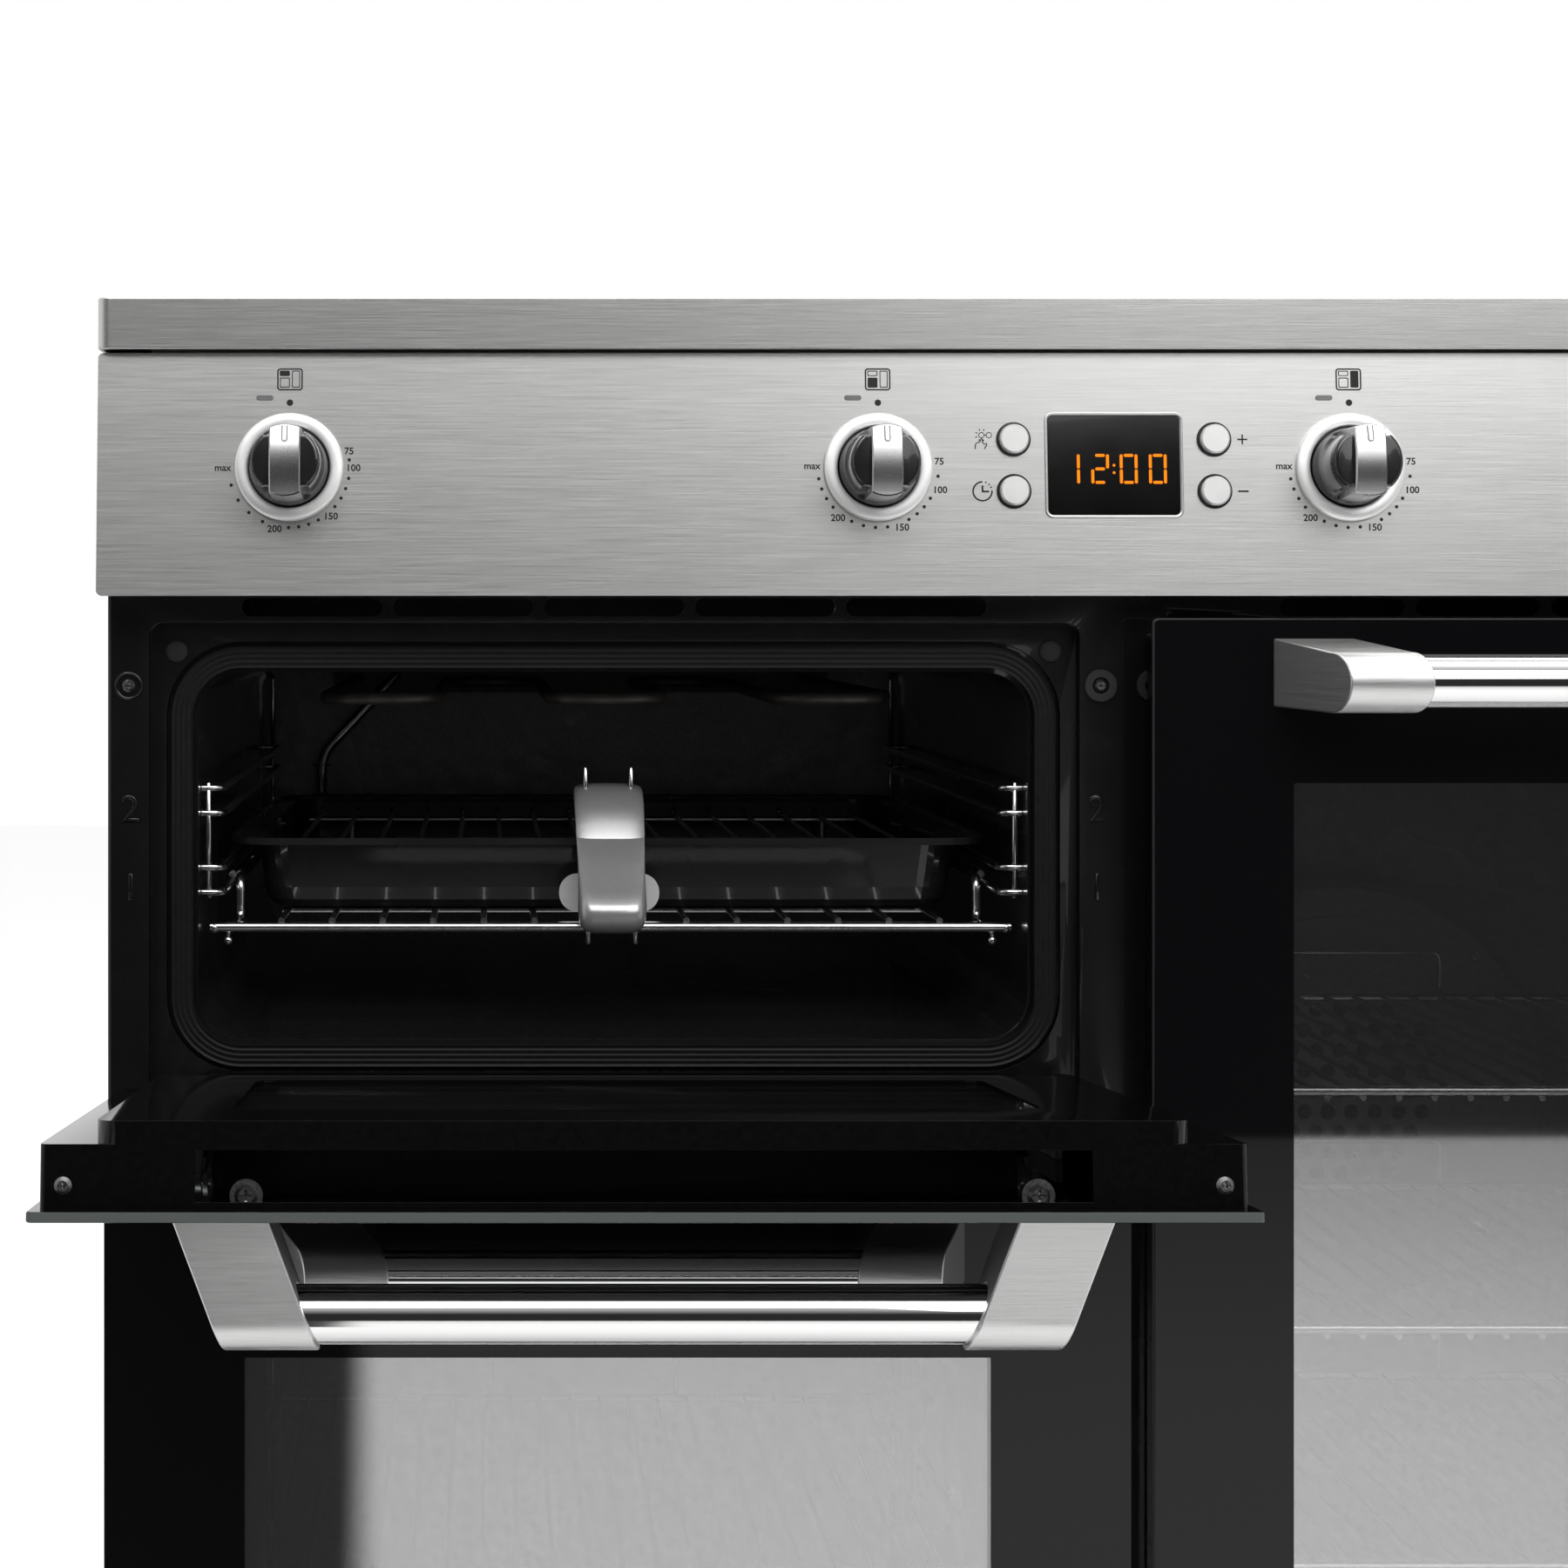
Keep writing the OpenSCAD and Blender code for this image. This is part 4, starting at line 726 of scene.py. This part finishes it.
def segment(x, y, run, across):
    """One bar of a figure, with its four corners cut."""
    half, cut = run / 2, 0.35
    outline = [(-half, -0.3), (-half + cut, -0.65), (half - cut, -0.65), (half, -0.3),
               (half, 0.3), (half - cut, 0.65), (-half + cut, 0.65), (-half, 0.3)]
    if not across:
        outline = [(b, a) for a, b in outline]
    return plate([(x + a, y + b) for a, b in outline], figure_low, figure_high, clock)


# Where the seven bars of a figure stand: their middles, length and way.
figure_w = 6.6
figure_mid = -1.7
seven = {"a": (figure_w / 2, 6.0, 4.2, True), "g": (figure_w / 2, 0, 4.2, True),
         "d": (figure_w / 2, -6.0, 4.2, True), "b": (figure_w, 3.35, 6.2, False),
         "c": (figure_w, -3.35, 6.2, False), "f": (0, 3.35, 6.2, False), "e": (0, -3.35, 6.2, False)}
figures = []
for left, parts in ((-15.7 - figure_w, "bc"), (-9.4, "abged"), (3.25, "abcdef"), (16.15, "abcdef")):
    for dx, dy, run, across in [seven[part] for part in parts]:
        figures.append(segment(left + dx, figure_mid + dy, run, across))
figures += [plate(circle(0.62, 0, (0.05, figure_mid + dy), 12), figure_low, figure_high, clock)
            for dy in (1.6, -1.7)]
glow, place, feed = finish("orange_segments", Roughness=0.5, Emission_Strength=1.0, Specular_IOR_Level=0.0)
flicker = place.grain(1500.0, 2.0)
feed(Base_Color=flicker.blend((0.30, 0.06, 0.0), (0.36, 0.08, 0.0)),
     Emission_Color=flicker.blend((0.85, 0.19, 0.008), (1.0, 0.27, 0.02)))
piece("clock_figures", "cooker", "display", glow, *figures)


# Clock board and rotary switches.
# Behind the panel are the clock's printed circuit board and four moulded
# switches.

board = grained("circuit_board", 260.0, (0.01, 0.10, 0.04), (0.05, 0.22, 0.09), (0.2, 0.35), detail=1.0,
                Specular_IOR_Level=0.5)
dress(board, "timer_module")
moulded = grained("pale_switch_plastic", 500.0, (0.60, 0.59, 0.56), (0.74, 0.73, 0.70), (0.15, 0.45),
                  Specular_IOR_Level=0.4)
dress(moulded, "rotary_switches")


# Front frames.
# Pressed steel under gloss black vitreous enamel: deep, wet-looking, with a
# slight waviness from firing. Shelf numbers are pressed into the left one.

enamel, place, feed = finish("gloss_black_enamel", Coat_Weight=0.6, Coat_Roughness=0.03, IOR=1.4)
flow = place.grain(55.0, 2.0)
fleck = place.grain(700.0, 1.0)
feed(Base_Color=fleck.blend((0.002, 0.002, 0.0022), (0.005, 0.005, 0.0053)), Roughness=flow * 0.12 + 0.2,
     Normal=flow.bump(0.06, 0.001))
dress(enamel, "left_front_frame", "right_front_frame")
for node in ("left_front_frame", "right_front_frame"):
    softened(node, 0.9, 3)


def on_frame(x, z, y=0.0):
    """The place on an upright face at this depth, facing out."""
    return Matrix.Translation((x, y, z)) @ facing_out


numbers = [letters(word, 17.5, 0.9, (0, 0), on_frame(x, z), low=-0.3, edge=0.35)
           for word, z in (("2", 671.3), ("1", 636.0)) for x in (-438.3, -1.9)]
piece("shelf_numbers", "cooker", "black_enamel", enamel, *numbers, smooth=60)


# Frame screws and door buffers.
# Each upright of the frames is held by a cross-head screw in a washer: a pressed
# steel one outside, a thick rubber one inside. Soft discs at the corners of the
# mouths take the closing doors.

rubber = grained("black_rubber", 120.0, 0.007, 0.018, (0.2, 0.55), detail=3.0, bump=(0.2, 0.0003),
                 Specular_IOR_Level=0.35)
screw_dark = grained("blackened_screw", 1200.0, 0.10, 0.30, (0.2, 0.28), Metallic=1.0)
left_x, tall_x = -219.95, 231.25
screw_z = 727.5
outer_xs, inner_xs = (-439.2, 439.2), (-0.5, 23.3)
cup = ((6.4, 0.0), (6.4, 0.5), (6.0, 0.9), (5.4, 0.9), (5.0, 0.5), (4.8, 0.1))
washers = [turned(cup, on_frame(x, screw_z), 40, "joined") for x in outer_xs]
piece("screw_cups", "cooker", "black_enamel", enamel, *washers, smooth=60)
bush = ((7.4, 0.0), (7.4, 1.5), (7.0, 1.9), (4.1, 1.9), (3.7, 1.6), (3.5, 0.0))
bushes = [turned(bush, on_frame(x, screw_z), 40, "joined") for x in inner_xs]
piece("screw_bushes", "cooker", "seal", rubber, *bushes)
heads = screws("frame_screw_heads", "cooker", screw_dark, facing_front,
               [(x, -0.75, screw_z) for x in (outer_xs[0], *inner_xs, outer_xs[1])], radius=3.0, rise=1.5)
dress(screw_dark, "frame_screws")
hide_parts("frame_screws")
disc = ((5.2, 0.0), (5.1, 0.7), (4.4, 1.2), (2.8, 1.55), (0.5, 1.7))
disc_places = [(left_x + side * 198.5, z) for side in (-1, 1) for z in (743, 490)]
disc_places += [(tall_x + side * 186.5, 743) for side in (-1, 1)]
buffers = [turned(disc, on_frame(x, z, 8), 32) for x, z in disc_places]
piece("door_buffers", "cooker", "seal", rubber, *buffers, smooth=60)


# Oven liners and fan cover.
# Deep drawn steel boxes in dark enamel with a fine speckle. The rear wall is
# pressed with a hammered texture that scatters what light gets in, and is
# coloured a lighter grey as painted light, standing for the light it catches.

liner_grey, place, feed = finish("speckled_oven_enamel", Coat_Weight=0.7, Coat_Roughness=0.08)
speckle = place.grain(520.0, 2.0)
hammer = place.node("TexVoronoi", {"feature": "SMOOTH_F1"}, 0, Vector=place, Scale=95.0)
wave = place.grain(12.0, 2.0)
along = place.axes()[1]
rear = along > front + 0.4165
dark = (speckle * speckle).blend((0.006, 0.006, 0.0065), (0.035, 0.035, 0.036))
# The rear wall's lighter grey is painted light; the sides, top and floor keep the dark enamel.
feed(Base_Color=rear.blend(dark, speckle.blend((0.12, 0.12, 0.122), (0.22, 0.22, 0.222))),
     Roughness=wave * 0.2 + 0.16, Normal=(hammer * rear + wave * 0.1).bump(0.7, 0.003))
dress(liner_grey, "grill_cavity", "lower_cavity", "tall_cavity")
cover_grey = grained("fan_cover_enamel", 520.0, (0.10, 0.10, 0.102), (0.22, 0.22, 0.223), (0.15, 0.25),
                     Coat_Weight=0.6, Coat_Roughness=0.1)
dress(cover_grey, "fan_cover")
fan_z, cover_face, screw_ring = 474.75, 383.9, 114
cover_screws = [(tall_x + screw_ring * math.cos(a), cover_face, fan_z + screw_ring * math.sin(a))
                for a in (0.79, 2.36, 3.93, 5.5)]
screws("fan_cover_screws", "cooker", screw_zinc, facing_front, cover_screws, radius=3.6, rise=1.6)


# Door seals.
# A closed ring of ribbed silicone sits in its seat round each oven's mouth. One
# tree sweeps the ribbed section round a rectangle with rounded corners.

ribbed, (points, width, height, corner, girth, depth, ribs, middle, paint), end = new_tree(
    "ribbed_seal", ("Width", "Float"), ("Height", "Float"), ("Corner", "Float"), ("Girth", "Float"),
    ("Depth", "Float"), ("Ribs", "Float"), ("Middle", "Vector"), ("Paint", "Material"))
mouth = points.node("GeometryNodeCurvePrimitiveQuadrilateral", Width=width, Height=height)
path = points.node("GeometryNodeFilletCurve", {"mode": "POLY"}, Curve=mouth, Count=14, Radius=corner)
section = points.node("GeometryNodeCurvePrimitiveCircle", Resolution=64, Radius=1.0)
across, out = points.node("GeometryNodeInputPosition").axes()[:2]
flat_x = across.node("Clamp", Value=across * 1.3, Min=-1.0, Max=1.0)
flat_y = out.node("Clamp", Value=out * 1.6, Min=-1.0, Max=1.0)
wave = (flat_x * ribs).maths("COSINE") * flat_y * 0.12
moved = points.node("CombineXYZ", X=flat_x * girth * 0.5, Y=(flat_y * 0.88 + wave) * depth * 0.5)
shaped = points.node("GeometryNodeSetPosition", Geometry=section, Position=moved)
swept = points.node("GeometryNodeCurveToMesh", Curve=path, Profile_Curve=shaped)
stood = points.node("GeometryNodeTransform", Geometry=swept, Translation=middle, Rotation=(math.pi / 2, 0, 0))
end(stood, paint)

seal_dark = grained("ribbed_silicone", 300.0, 0.004, 0.009, (0.2, 0.38), Specular_IOR_Level=0.15)
# Each mouth's middle, lower edge, upper edge and width; the seal runs outside it.
mouths = ((left_x, 566, 733.5, 378), (left_x, 148, 480.5, 378), (tall_x, 148, 733.5, 354))
outside = 13.5
rings = [grow(ribbed, Width=w + outside, Height=high - low + outside, Corner=26.75, Girth=9.5, Depth=4.7,
              Ribs=4 * math.pi, Middle=(x, 8.65, (low + high) / 2), Paint=seal_dark)
         for x, low, high, w in mouths]
seals = piece("ribbed_seals", "cooker", "seal", seal_dark, *rings, smooth=60)
dress(seal_dark, "door_seals")
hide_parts("door_seals")


# Grill element and fan wheel.
# Nickel steel that heat has turned dark and a little brown.

heated = grained("heat_dulled_steel", 130.0, (0.05, 0.048, 0.046), (0.20, 0.18, 0.165), (0.25, 0.38),
                 detail=4.0, bump=(0.2, 0.0004), Metallic=0.85)
dress(heated, "grill_element", "fan_wheel")


# Racks and shelves.
# Round steel wire, welded and chrome plated; bright, with a slight ripple that
# the drawing of the wire leaves. Upright wires tie the side racks' runners.

chrome = grained("chromed_wire", 240.0, 0.55, (0.80, 0.80, 0.79), (0.10, 0.14),
                 bump=(0.08, 0.0003), Metallic=1.0)
dress(chrome, "grill_side_racks", "oven_side_racks", "oven_shelves", "wire_shelf", "pan_trivet")


def rod(points, r, steps=10, bend=0.0, place=Matrix()):
    """A round wire along points, its corners bent over this length."""
    way = [Vector(point) for point in points]
    eased = [way[0]]
    for a, b, c in zip(way, way[1:], way[2:]):
        if bend:
            near, far = b + (a - b).normalized() * bend, b + (c - b).normalized() * bend
            for i in range(7):
                t = i / 6
                eased.append(near * (1 - t) ** 2 + b * 2 * t * (1 - t) + far * t ** 2)
        else:
            eased.append(b)
    eased.append(way[-1])
    rings = []
    side = None
    for i, point in enumerate(eased):
        ahead = (eased[min(i + 1, len(eased) - 1)] - eased[max(i - 1, 0)]).normalized()
        if side is None:
            side = ahead.orthogonal().normalized()
        side = (side - ahead * side.dot(ahead)).normalized()
        other = ahead.cross(side)
        turns = [2 * math.pi * k / steps for k in range(steps)]
        rings.append([point + (side * math.cos(a) + other * math.sin(a)) * r for a in turns])
    tip = (eased[0] - eased[1]).normalized() * r * 0.35
    tail = (eased[-1] - eased[-2]).normalized() * r * 0.35
    first = [eased[0] + (point - eased[0]) * 0.6 + tip for point in rings[0]]
    final = [eased[-1] + (point - eased[-1]) * 0.6 + tail for point in rings[-1]]
    return loft([first, *rings, final], place)


def ball(centre, r, steps=14):
    """The rounded end of a wire."""
    turns = [math.pi * (i + 0.15) / 7.3 for i in range(8)]
    rings = [circle(r * math.sin(a), -r * math.cos(a), steps=steps) for a in turns]
    return loft(rings, Matrix.Translation(centre))


rack_front, rack_rear = 24, 398
uprights = []
for side in (-1, 1):
    wall = left_x + side * 185.6
    tall_wall = tall_x + side * 173.6
    for y in (rack_front, rack_rear):
        uprights.append(rod([(wall, y, 629.5), (wall, y, 682)], 1.3))
    uprights.append(rod([(wall, rack_rear, 680), (wall, rack_rear, 724), (wall, 372, 728)], 1.5, bend=6))
    for y in (rack_front, rack_rear):
        uprights.append(rod([(wall, y, 214), (wall, y, 386)], 1.3))
        uprights.append(rod([(tall_wall, y, 196), (tall_wall, y, 648)], 1.3))
piece("rack_uprights", "cooker", "chrome", chrome, *uprights, smooth=60)


# Rear stops of the shelves.
# A wire loop behind each shelf of the two closed ovens keeps it off the rear
# wall. The chromed phial of the grill oven's thermostat stands in two straps.

stop_back, stop_front, stop_half, stop_rise = 372, 361, 55, 22
stops = []
for x, z in ((left_x, 302.2), (tall_x, 315.2), (tall_x, 426.2), (tall_x, 537.2)):
    left, right, low = x - stop_half, x + stop_half, z - 3
    path = [(left, stop_front, low), (left, stop_back, low), (left, stop_back, z + stop_rise),
            (right, stop_back, z + stop_rise), (right, stop_back, low), (right, stop_front, low)]
    stops.append(rod(path, 1.3, bend=5))
piece("shelf_rear_stops", "cooker", "chrome", chrome, *stops, smooth=60)
phial_x, phial_y = -377, 413.5
phial = rod([(phial_x, phial_y, 640), (phial_x, phial_y, 674), (-330, phial_y, 724)], 3.4, 14, 10)
straps = [rod([(phial_x - 5, 412, z), (phial_x, 409, z), (phial_x + 5, 412, z)], 0.8) for z in (650, 668)]
piece("thermostat_phial", "cooker", "chrome", chrome, phial, *straps, smooth=60)


# Grill shelf ends.
# The shelf's side wires are turned down under its front rod and end in small
# balls; the front rod's own ends are rounded.

wire_ends = [(left_x + side * 178, 38.5) for side in (-1, 1)]
rod_ends = [(left_x + side * 184, 36.5, 613.8) for side in (-1, 1)]
ends = [ball((x, y, 607.8), 2.4) for x, y in wire_ends]
ends += [rod([(x, y, 614), (x, y, 608)], 1.3) for x, y in wire_ends]
ends += [ball(centre, 2.8) for centre in rod_ends]
piece("shelf_wire_ends", "grill_shelf", "chrome", chrome, *ends, smooth=60)


# Grill pan and its trivet.
# A pressed steel pan in the same black enamel as the frames, its rim rolled to a
# bead. The trivet's wires stand above its floor and end in rounded tips.

pan_enamel = grained("pan_enamel", 30.0, (0.006, 0.006, 0.0065), (0.013, 0.013, 0.0135), (0.15, 0.2),
                     bump=(0.05, 0.001), Coat_Weight=0.5, Coat_Roughness=0.05, IOR=1.4)
dress(pan_enamel, "grill_pan")
bead_r = 1.65
rim_w, rim_d, rim_corner = 355.6, 296.6, 22.3
rim_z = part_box("grill_pan")[1][2] * 1000 - bead_r
pan_middle = (left_x, 200)
bead = []
for a in [math.pi * i / 6 for i in range(12)]:
    out = bead_r * math.cos(a)
    height = rim_z + 1.6 * math.sin(a)
    bead.append(rounded(rim_w + 2 * out, rim_d + 2 * out, rim_corner + out, height, pan_middle, 8))
piece("pan_rim_bead", "grill_tray", slot_of["grill_pan"], pan_enamel, loft(bead, ends="joined"), smooth=60)
trivet_w, trivet_d, wire_count = 316, 261, 16
tips = []
for i in range(wire_count):
    x = pan_middle[0] - trivet_w / 2 + 6 + i * (trivet_w - 12) / (wire_count - 1)
    for away in (-1, 1):
        y = pan_middle[1] + away * (trivet_d / 2 + 3.2)
        tips.append(rod([(x, y, 643.95), (x, y + away * 1.6, 647.2)], 1.35, 8))
piece("trivet_tips", "grill_tray", "chrome", chrome, *tips, smooth=60)


# Pan handle.
# A hooked grip of glossy grey moulded plastic. A bright sheet clip with two
# wings holds it on the pan's rim, and two spring wires run through it.

grip_grey = grained("glossy_grip_plastic", 420.0, (0.34, 0.34, 0.345), (0.38, 0.38, 0.385), (0.05, 0.22),
                    Metallic=0.55, Coat_Weight=0.4, Coat_Roughness=0.08)
dress(grip_grey, "pan_handle")


def grip_ring(y, z, lean, thick, width, steps=32):
    """A rounded section across the grip, at one station of its curve."""
    points = []
    for i in range(steps):
        a = 2 * math.pi * i / steps
        c, s = math.cos(a), math.sin(a)
        x = width / 2 * math.copysign(abs(c) ** 0.5, c)
        t = thick / 2 * math.copysign(abs(s) ** 0.75, s)
        points.append((x, y + t * math.cos(lean), z + t * math.sin(lean)))
    return points


# Each station is a depth, a height, a lean, a thickness and a width.
stations = ((66.6, 676.5, 0.15, 5, 23), (65.4, 677, 0.18, 12, 30), (62, 676.6, 0.3, 17, 32.6),
            (57, 674.4, 0.55, 19.5, 33), (50.5, 671, 0.95, 19, 33), (44, 666, 1.1, 16.6, 32.6),
            (38.5, 660.5, 1.0, 15.4, 32), (32.5, 652.5, 0.82, 15, 31.4), (27, 644.5, 0.72, 15.4, 31),
            (22.4, 636.5, 0.5, 17.4, 31), (19.3, 629.5, 0.25, 19.6, 31.6), (18, 623, 0.05, 19.4, 31.8),
            (18, 617.8, 0.0, 16.6, 30.4), (18.2, 614.6, 0.0, 11, 26), (18.4, 613.3, 0.0, 5, 18))
handle_x = Matrix.Translation((left_x, 0, 0))
grip_skin = loft([grip_ring(*station) for station in stations], handle_x)
hook = piece("pan_grip", "grill_tray", "grip", grip_grey, grip_skin, smooth=180)
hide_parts("pan_handle")
round_off = hook.modifiers.new("rounding", "SUBSURF")
round_off.levels = 1
round_off.render_levels = 1
clip_metal = grained("bright_clip_sheet", 1.0, 0.78, (0.90, 0.90, 0.89), (0.12, 0.34), detail=3.0,
                     stretch=(60, 60, 900), Metallic=0.6)
clip_face = handle_x @ facing_out


def strap(half, low, high, back, face):
    """An upright strip of the clip, between two heights and two depths."""
    return plate([(-half, low), (half, low), (half, high), (-half, high)], -back, -face, clip_face)


wings = plate(rounded(47, 18, 8.6, 0, (0, 628.9), 8), -49.6, -48.4, clip_face)
clip = [wings, strap(9, 623, 655, 49.7, 48.7), strap(9, 654, 663, 60, 48.7), strap(8, 633, 636.5, 49, 34)]
piece("pan_clip", "grill_tray", "steel", clip_metal, *clip)
springs = []
for x in (-10.8, 10.8):
    springs.append(rod([(x, 58, 668), (x, 58, 687)], 1.25, place=handle_x))
    springs.append(rod([(x, 22, 622), (x, 21.5, 608.5)], 1.25, place=handle_x))
piece("pan_clip_wires", "grill_tray", "chrome", chrome, *springs, smooth=60)


# Door glasses.
# Each door's outer pane is 4 mm glass printed black from behind. On the two doors
# that stand shut, a tinted window in the print mirrors the room. The inner panes
# are clear and faintly misted.

def door_glass(name, facing, window=None):
    """Black-printed glass with ground, greyish edges; it mirrors the room in its window."""
    glass, place, feed = finish(name, IOR=1.36)
    print_black = (0.003, 0.003, 0.0035)
    smear = place.grain(5.0, 3.0)
    edge = abs(place.other(1).axes()[facing]) < 0.5
    if window:
        (x0, z0), (x1, z1) = window
        across, along, up = place.axes()
        inside = (across > x0) * (across < x1) * (up > z0) * (up < z1)
        pane = inside.blend(print_black, 0.82)
        feed(Metallic=inside, Alpha=1.0 - inside * 0.70)
    else:
        pane = print_black
    feed(Base_Color=edge.blend(pane, (0.07, 0.078, 0.074)), Roughness=smear * 0.03 + edge * 0.35 + 0.015)
    return glass


border_z = 0.0725
for door, border_x in (("lower", 0.0620), ("tall", 0.0615)):
    low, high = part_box(door + "_door_glass")
    pane = ((low[0] + border_x, low[2] + border_z), (high[0] - border_x, high[2] - border_z))
    dress(door_glass(door + "_door_black_glass", 1, pane), door + "_door_glass")
    softened(door + "_door_glass", 0.6)
dress(door_glass("grill_door_black_glass", 2), "grill_door_glass")
softened("grill_door_glass", 0.6)

inner_glass, place, feed = finish("inner_pane_glass", IOR=1.5)
mist = place.grain(20.0, 2.0)
feed(Base_Color=mist.blend((0.03, 0.03, 0.033), (0.05, 0.05, 0.053)), Roughness=mist * 0.03 + 0.03,
     Alpha=mist * 0.04 + 0.10)
dress(inner_glass, "grill_door_inner_glass", "lower_door_inner_glass", "tall_door_inner_glass")


# Door frames.
# Each door's inner frame is one pressed enamelled sheet behind the glass. Its
# top edge is held by cross-head screws, and two more clamp the handle.

door_black = grained("door_enamel", 400.0, 0.001, 0.004, (0.06, 0.07), Specular_IOR_Level=0.4)
for node in ("grill_door_frame", "lower_door_frame", "tall_door_frame"):
    dress(door_black, node)
    softened(node, 0.8)
hinge, opening = Vector((0, -10.7, 537.5)), math.radians(84.8)
open_turn = Matrix.Translation(hinge) @ Matrix.Rotation(opening, 4, "X") @ Matrix.Translation(-hinge)
upward = (0, 0, 0)
# For each door: its middle, half width and top, how far in a bracket stands, and its turn.
door_tops = (("grill_door", left_x, 226.25, 758, 52, open_turn),
             ("lower_door", left_x, 226.25, 505, 73, Matrix()),
             ("tall_door", tall_x, 214.95, 758, 52, Matrix()))
for body, x, half, top, inset, turn in door_tops:
    spots = [(x + side * (half - 12.5), -17.5, top - 8) for side in (-1, 1)]
    heads = grow(cross_heads, spots, Radius=3.3, Rise=1.3, Turn=upward, Paint=screw_dark)
    heads.transform(turn)
    clamps = [(x + side * (half - inset - 27), -22.5, top - 19) for side in (-1, 1)]
    bolts = grow(cross_heads, clamps, Radius=4.6, Rise=2.6, Turn=upward, Paint=screw_dark)
    bolts.transform(turn)
    pads = [plate(circle(6.2, 0, (pad_x, pad_y), 28), pad_z - 0.9, pad_z + 0.3, turn)
            for pad_x, pad_y, pad_z in clamps]
    piece(body + "_screws", body, "zinc", screw_dark, heads, bolts, *pads, smooth=30)


# Handles.
# Cast aluminium brackets, ground and lightly brushed along their length, hold a
# chromed steel tube, polished nearly to a mirror.

ground, place, feed = finish("brushed_aluminium", Metallic=1.0)
scratch = place.grain(1.0, 4.0, (45, 45, 1500), 0.6)
feed(Base_Color=scratch.blend((0.58, 0.58, 0.575), (0.78, 0.78, 0.775)), Roughness=scratch * 0.14 + 0.30,
     Normal=scratch.bump(0.15, 0.0002))
polished = grained("polished_tube", 1.0, 0.80, (0.92, 0.92, 0.91), (0.04, 0.035), detail=3.0,
                   stretch=(12, 1800, 1800), Metallic=1.0)
for door in ("grill", "lower", "tall"):
    dress(ground, door + "_handle_brackets")
    softened(door + "_handle_brackets", 0.8, 3)
    dress(polished, door + "_handle_tube")


# Camera.
# At the photograph's place: level and a little left of the clock. The lens is
# shifted, so that the view takes in more on the right and below.

camera_x, camera_back, camera_z = -0.279, 1.202, 0.7618
image_side = 1800
lens = bpy.data.cameras.new("photo_camera")
lens.lens = 61.12
lens.sensor_width = 36.0
lens.shift_x = 345 / image_side
lens.shift_y = -200 / image_side
lens.clip_start = 0.05
lens.clip_end = 60.0
camera = standing("photo_camera", lens)
camera.location = (camera_x, front - camera_back, camera_z)
camera.rotation_euler = (math.radians(90), 0, 0)
bpy.context.scene.camera = camera


# Floor.
# A pale floor that ends behind the camera. Camera rays see it lifted towards
# white; for mirrored rays, its part before the cooker is dark on the left.

# Where two kinds of ray stand among the Light Path's outputs.
glossy_ray, transmission_ray = 3, 6
floor_front, floor_half, floor_back, floor_z = front - 2.7, 7, 8, -0.0005
corners = [(-floor_half, floor_front, floor_z), (floor_half, floor_front, floor_z),
           (floor_half, floor_back, floor_z), (-floor_half, floor_back, floor_z)]
floor_mesh = bpy.data.meshes.new("floor")
floor_mesh.from_pydata(corners, [], [(0, 1, 2, 3)])
floor = standing("floor", floor_mesh)


def ramp(value, start, end, low, high):
    """A smooth step of a value, from low at its start to high at its end."""
    return value.node("MapRange", {"interpolation_type": "SMOOTHSTEP"},
                      _0=value, _1=start, _2=end, _3=low, _4=high)


pale, place, feed = finish("pale_floor", Specular_IOR_Level=0.1, Emission_Strength=1.0)
mottle = place.grain(3.0)
seen = place.node("LightPath")
across, along = place.axes()[:2]
# The shade's edge is a line on the floor: its place where it starts, and its slope.
edge_x, edge_y, edge_slope = -0.279, front + 1.142, 0.0458
edge = across - edge_x + edge_slope * (edge_y - along)
left_dark = ramp(edge, -0.02, 0.02, 1.0, 0.0)
shade = seen.other(glossy_ray) * left_dark * (along < front - 0.9)
feed(Base_Color=shade.blend(mottle.blend(0.88, 0.92), 0.03), Roughness=mottle * 0.1 + 0.7,
     Emission_Color=(seen * 0.55).blend(0.0, 1.0))
floor_mesh.materials.append(pale)


# Lamps.
# Three soft studio lamps, each turned to the middle of the cooker: one before
# it, one beside the camera for the panel, and one above.

aim = Vector((0, 0, 0.7))
for name, spot, size, power in (("front_softbox", (0.1, front - 1.7, 2.3), (3.0, 1.0), 44),
                                ("panel_softbox", (0.75, front - 1.5, 1.5), (1.3, 0.6), 5),
                                ("top_softbox", (0.0, 0.3, 3.0), (3.0, 2.0), 44)):
    lamp = bpy.data.lights.new(name, "AREA")
    lamp.shape = "RECTANGLE"
    lamp.size, lamp.size_y = size
    lamp.energy = power
    stand = standing(name, lamp)
    stand.location = spot
    stand.rotation_euler = (aim - Vector(spot)).to_track_quat("-Z", "Y").to_euler()


# Background.
# The camera, and what is seen through glass, meets plain white. Mirrored rays
# meet a room that is dark on the camera's side, apart from its upper part.

world = bpy.data.worlds.new("studio")
bpy.context.scene.world = world
world.use_nodes = True
behind, height = Feed(world.node_tree).node("TexCoord").axes()[1:]
room = ramp(behind, -0.80, -0.05, 0.025, 1.0).maths("MAXIMUM", ramp(height, 0.15, 0.65, 0.0, 0.5))
path = behind.node("LightPath")
glossy = path.other(glossy_ray)
shown = path.maths("MAXIMUM", path.other(transmission_ray))
lit_level = 0.42
level = shown + (1.0 - shown) * (glossy * room + (1.0 - glossy) * lit_level)
back = world.node_tree.nodes["Background"]
back.inputs["Color"].default_value = (1, 1, 1, 1)
world.node_tree.links.new(level.socket, back.inputs["Strength"])

bpy.context.scene.view_settings.view_transform = "Standard"
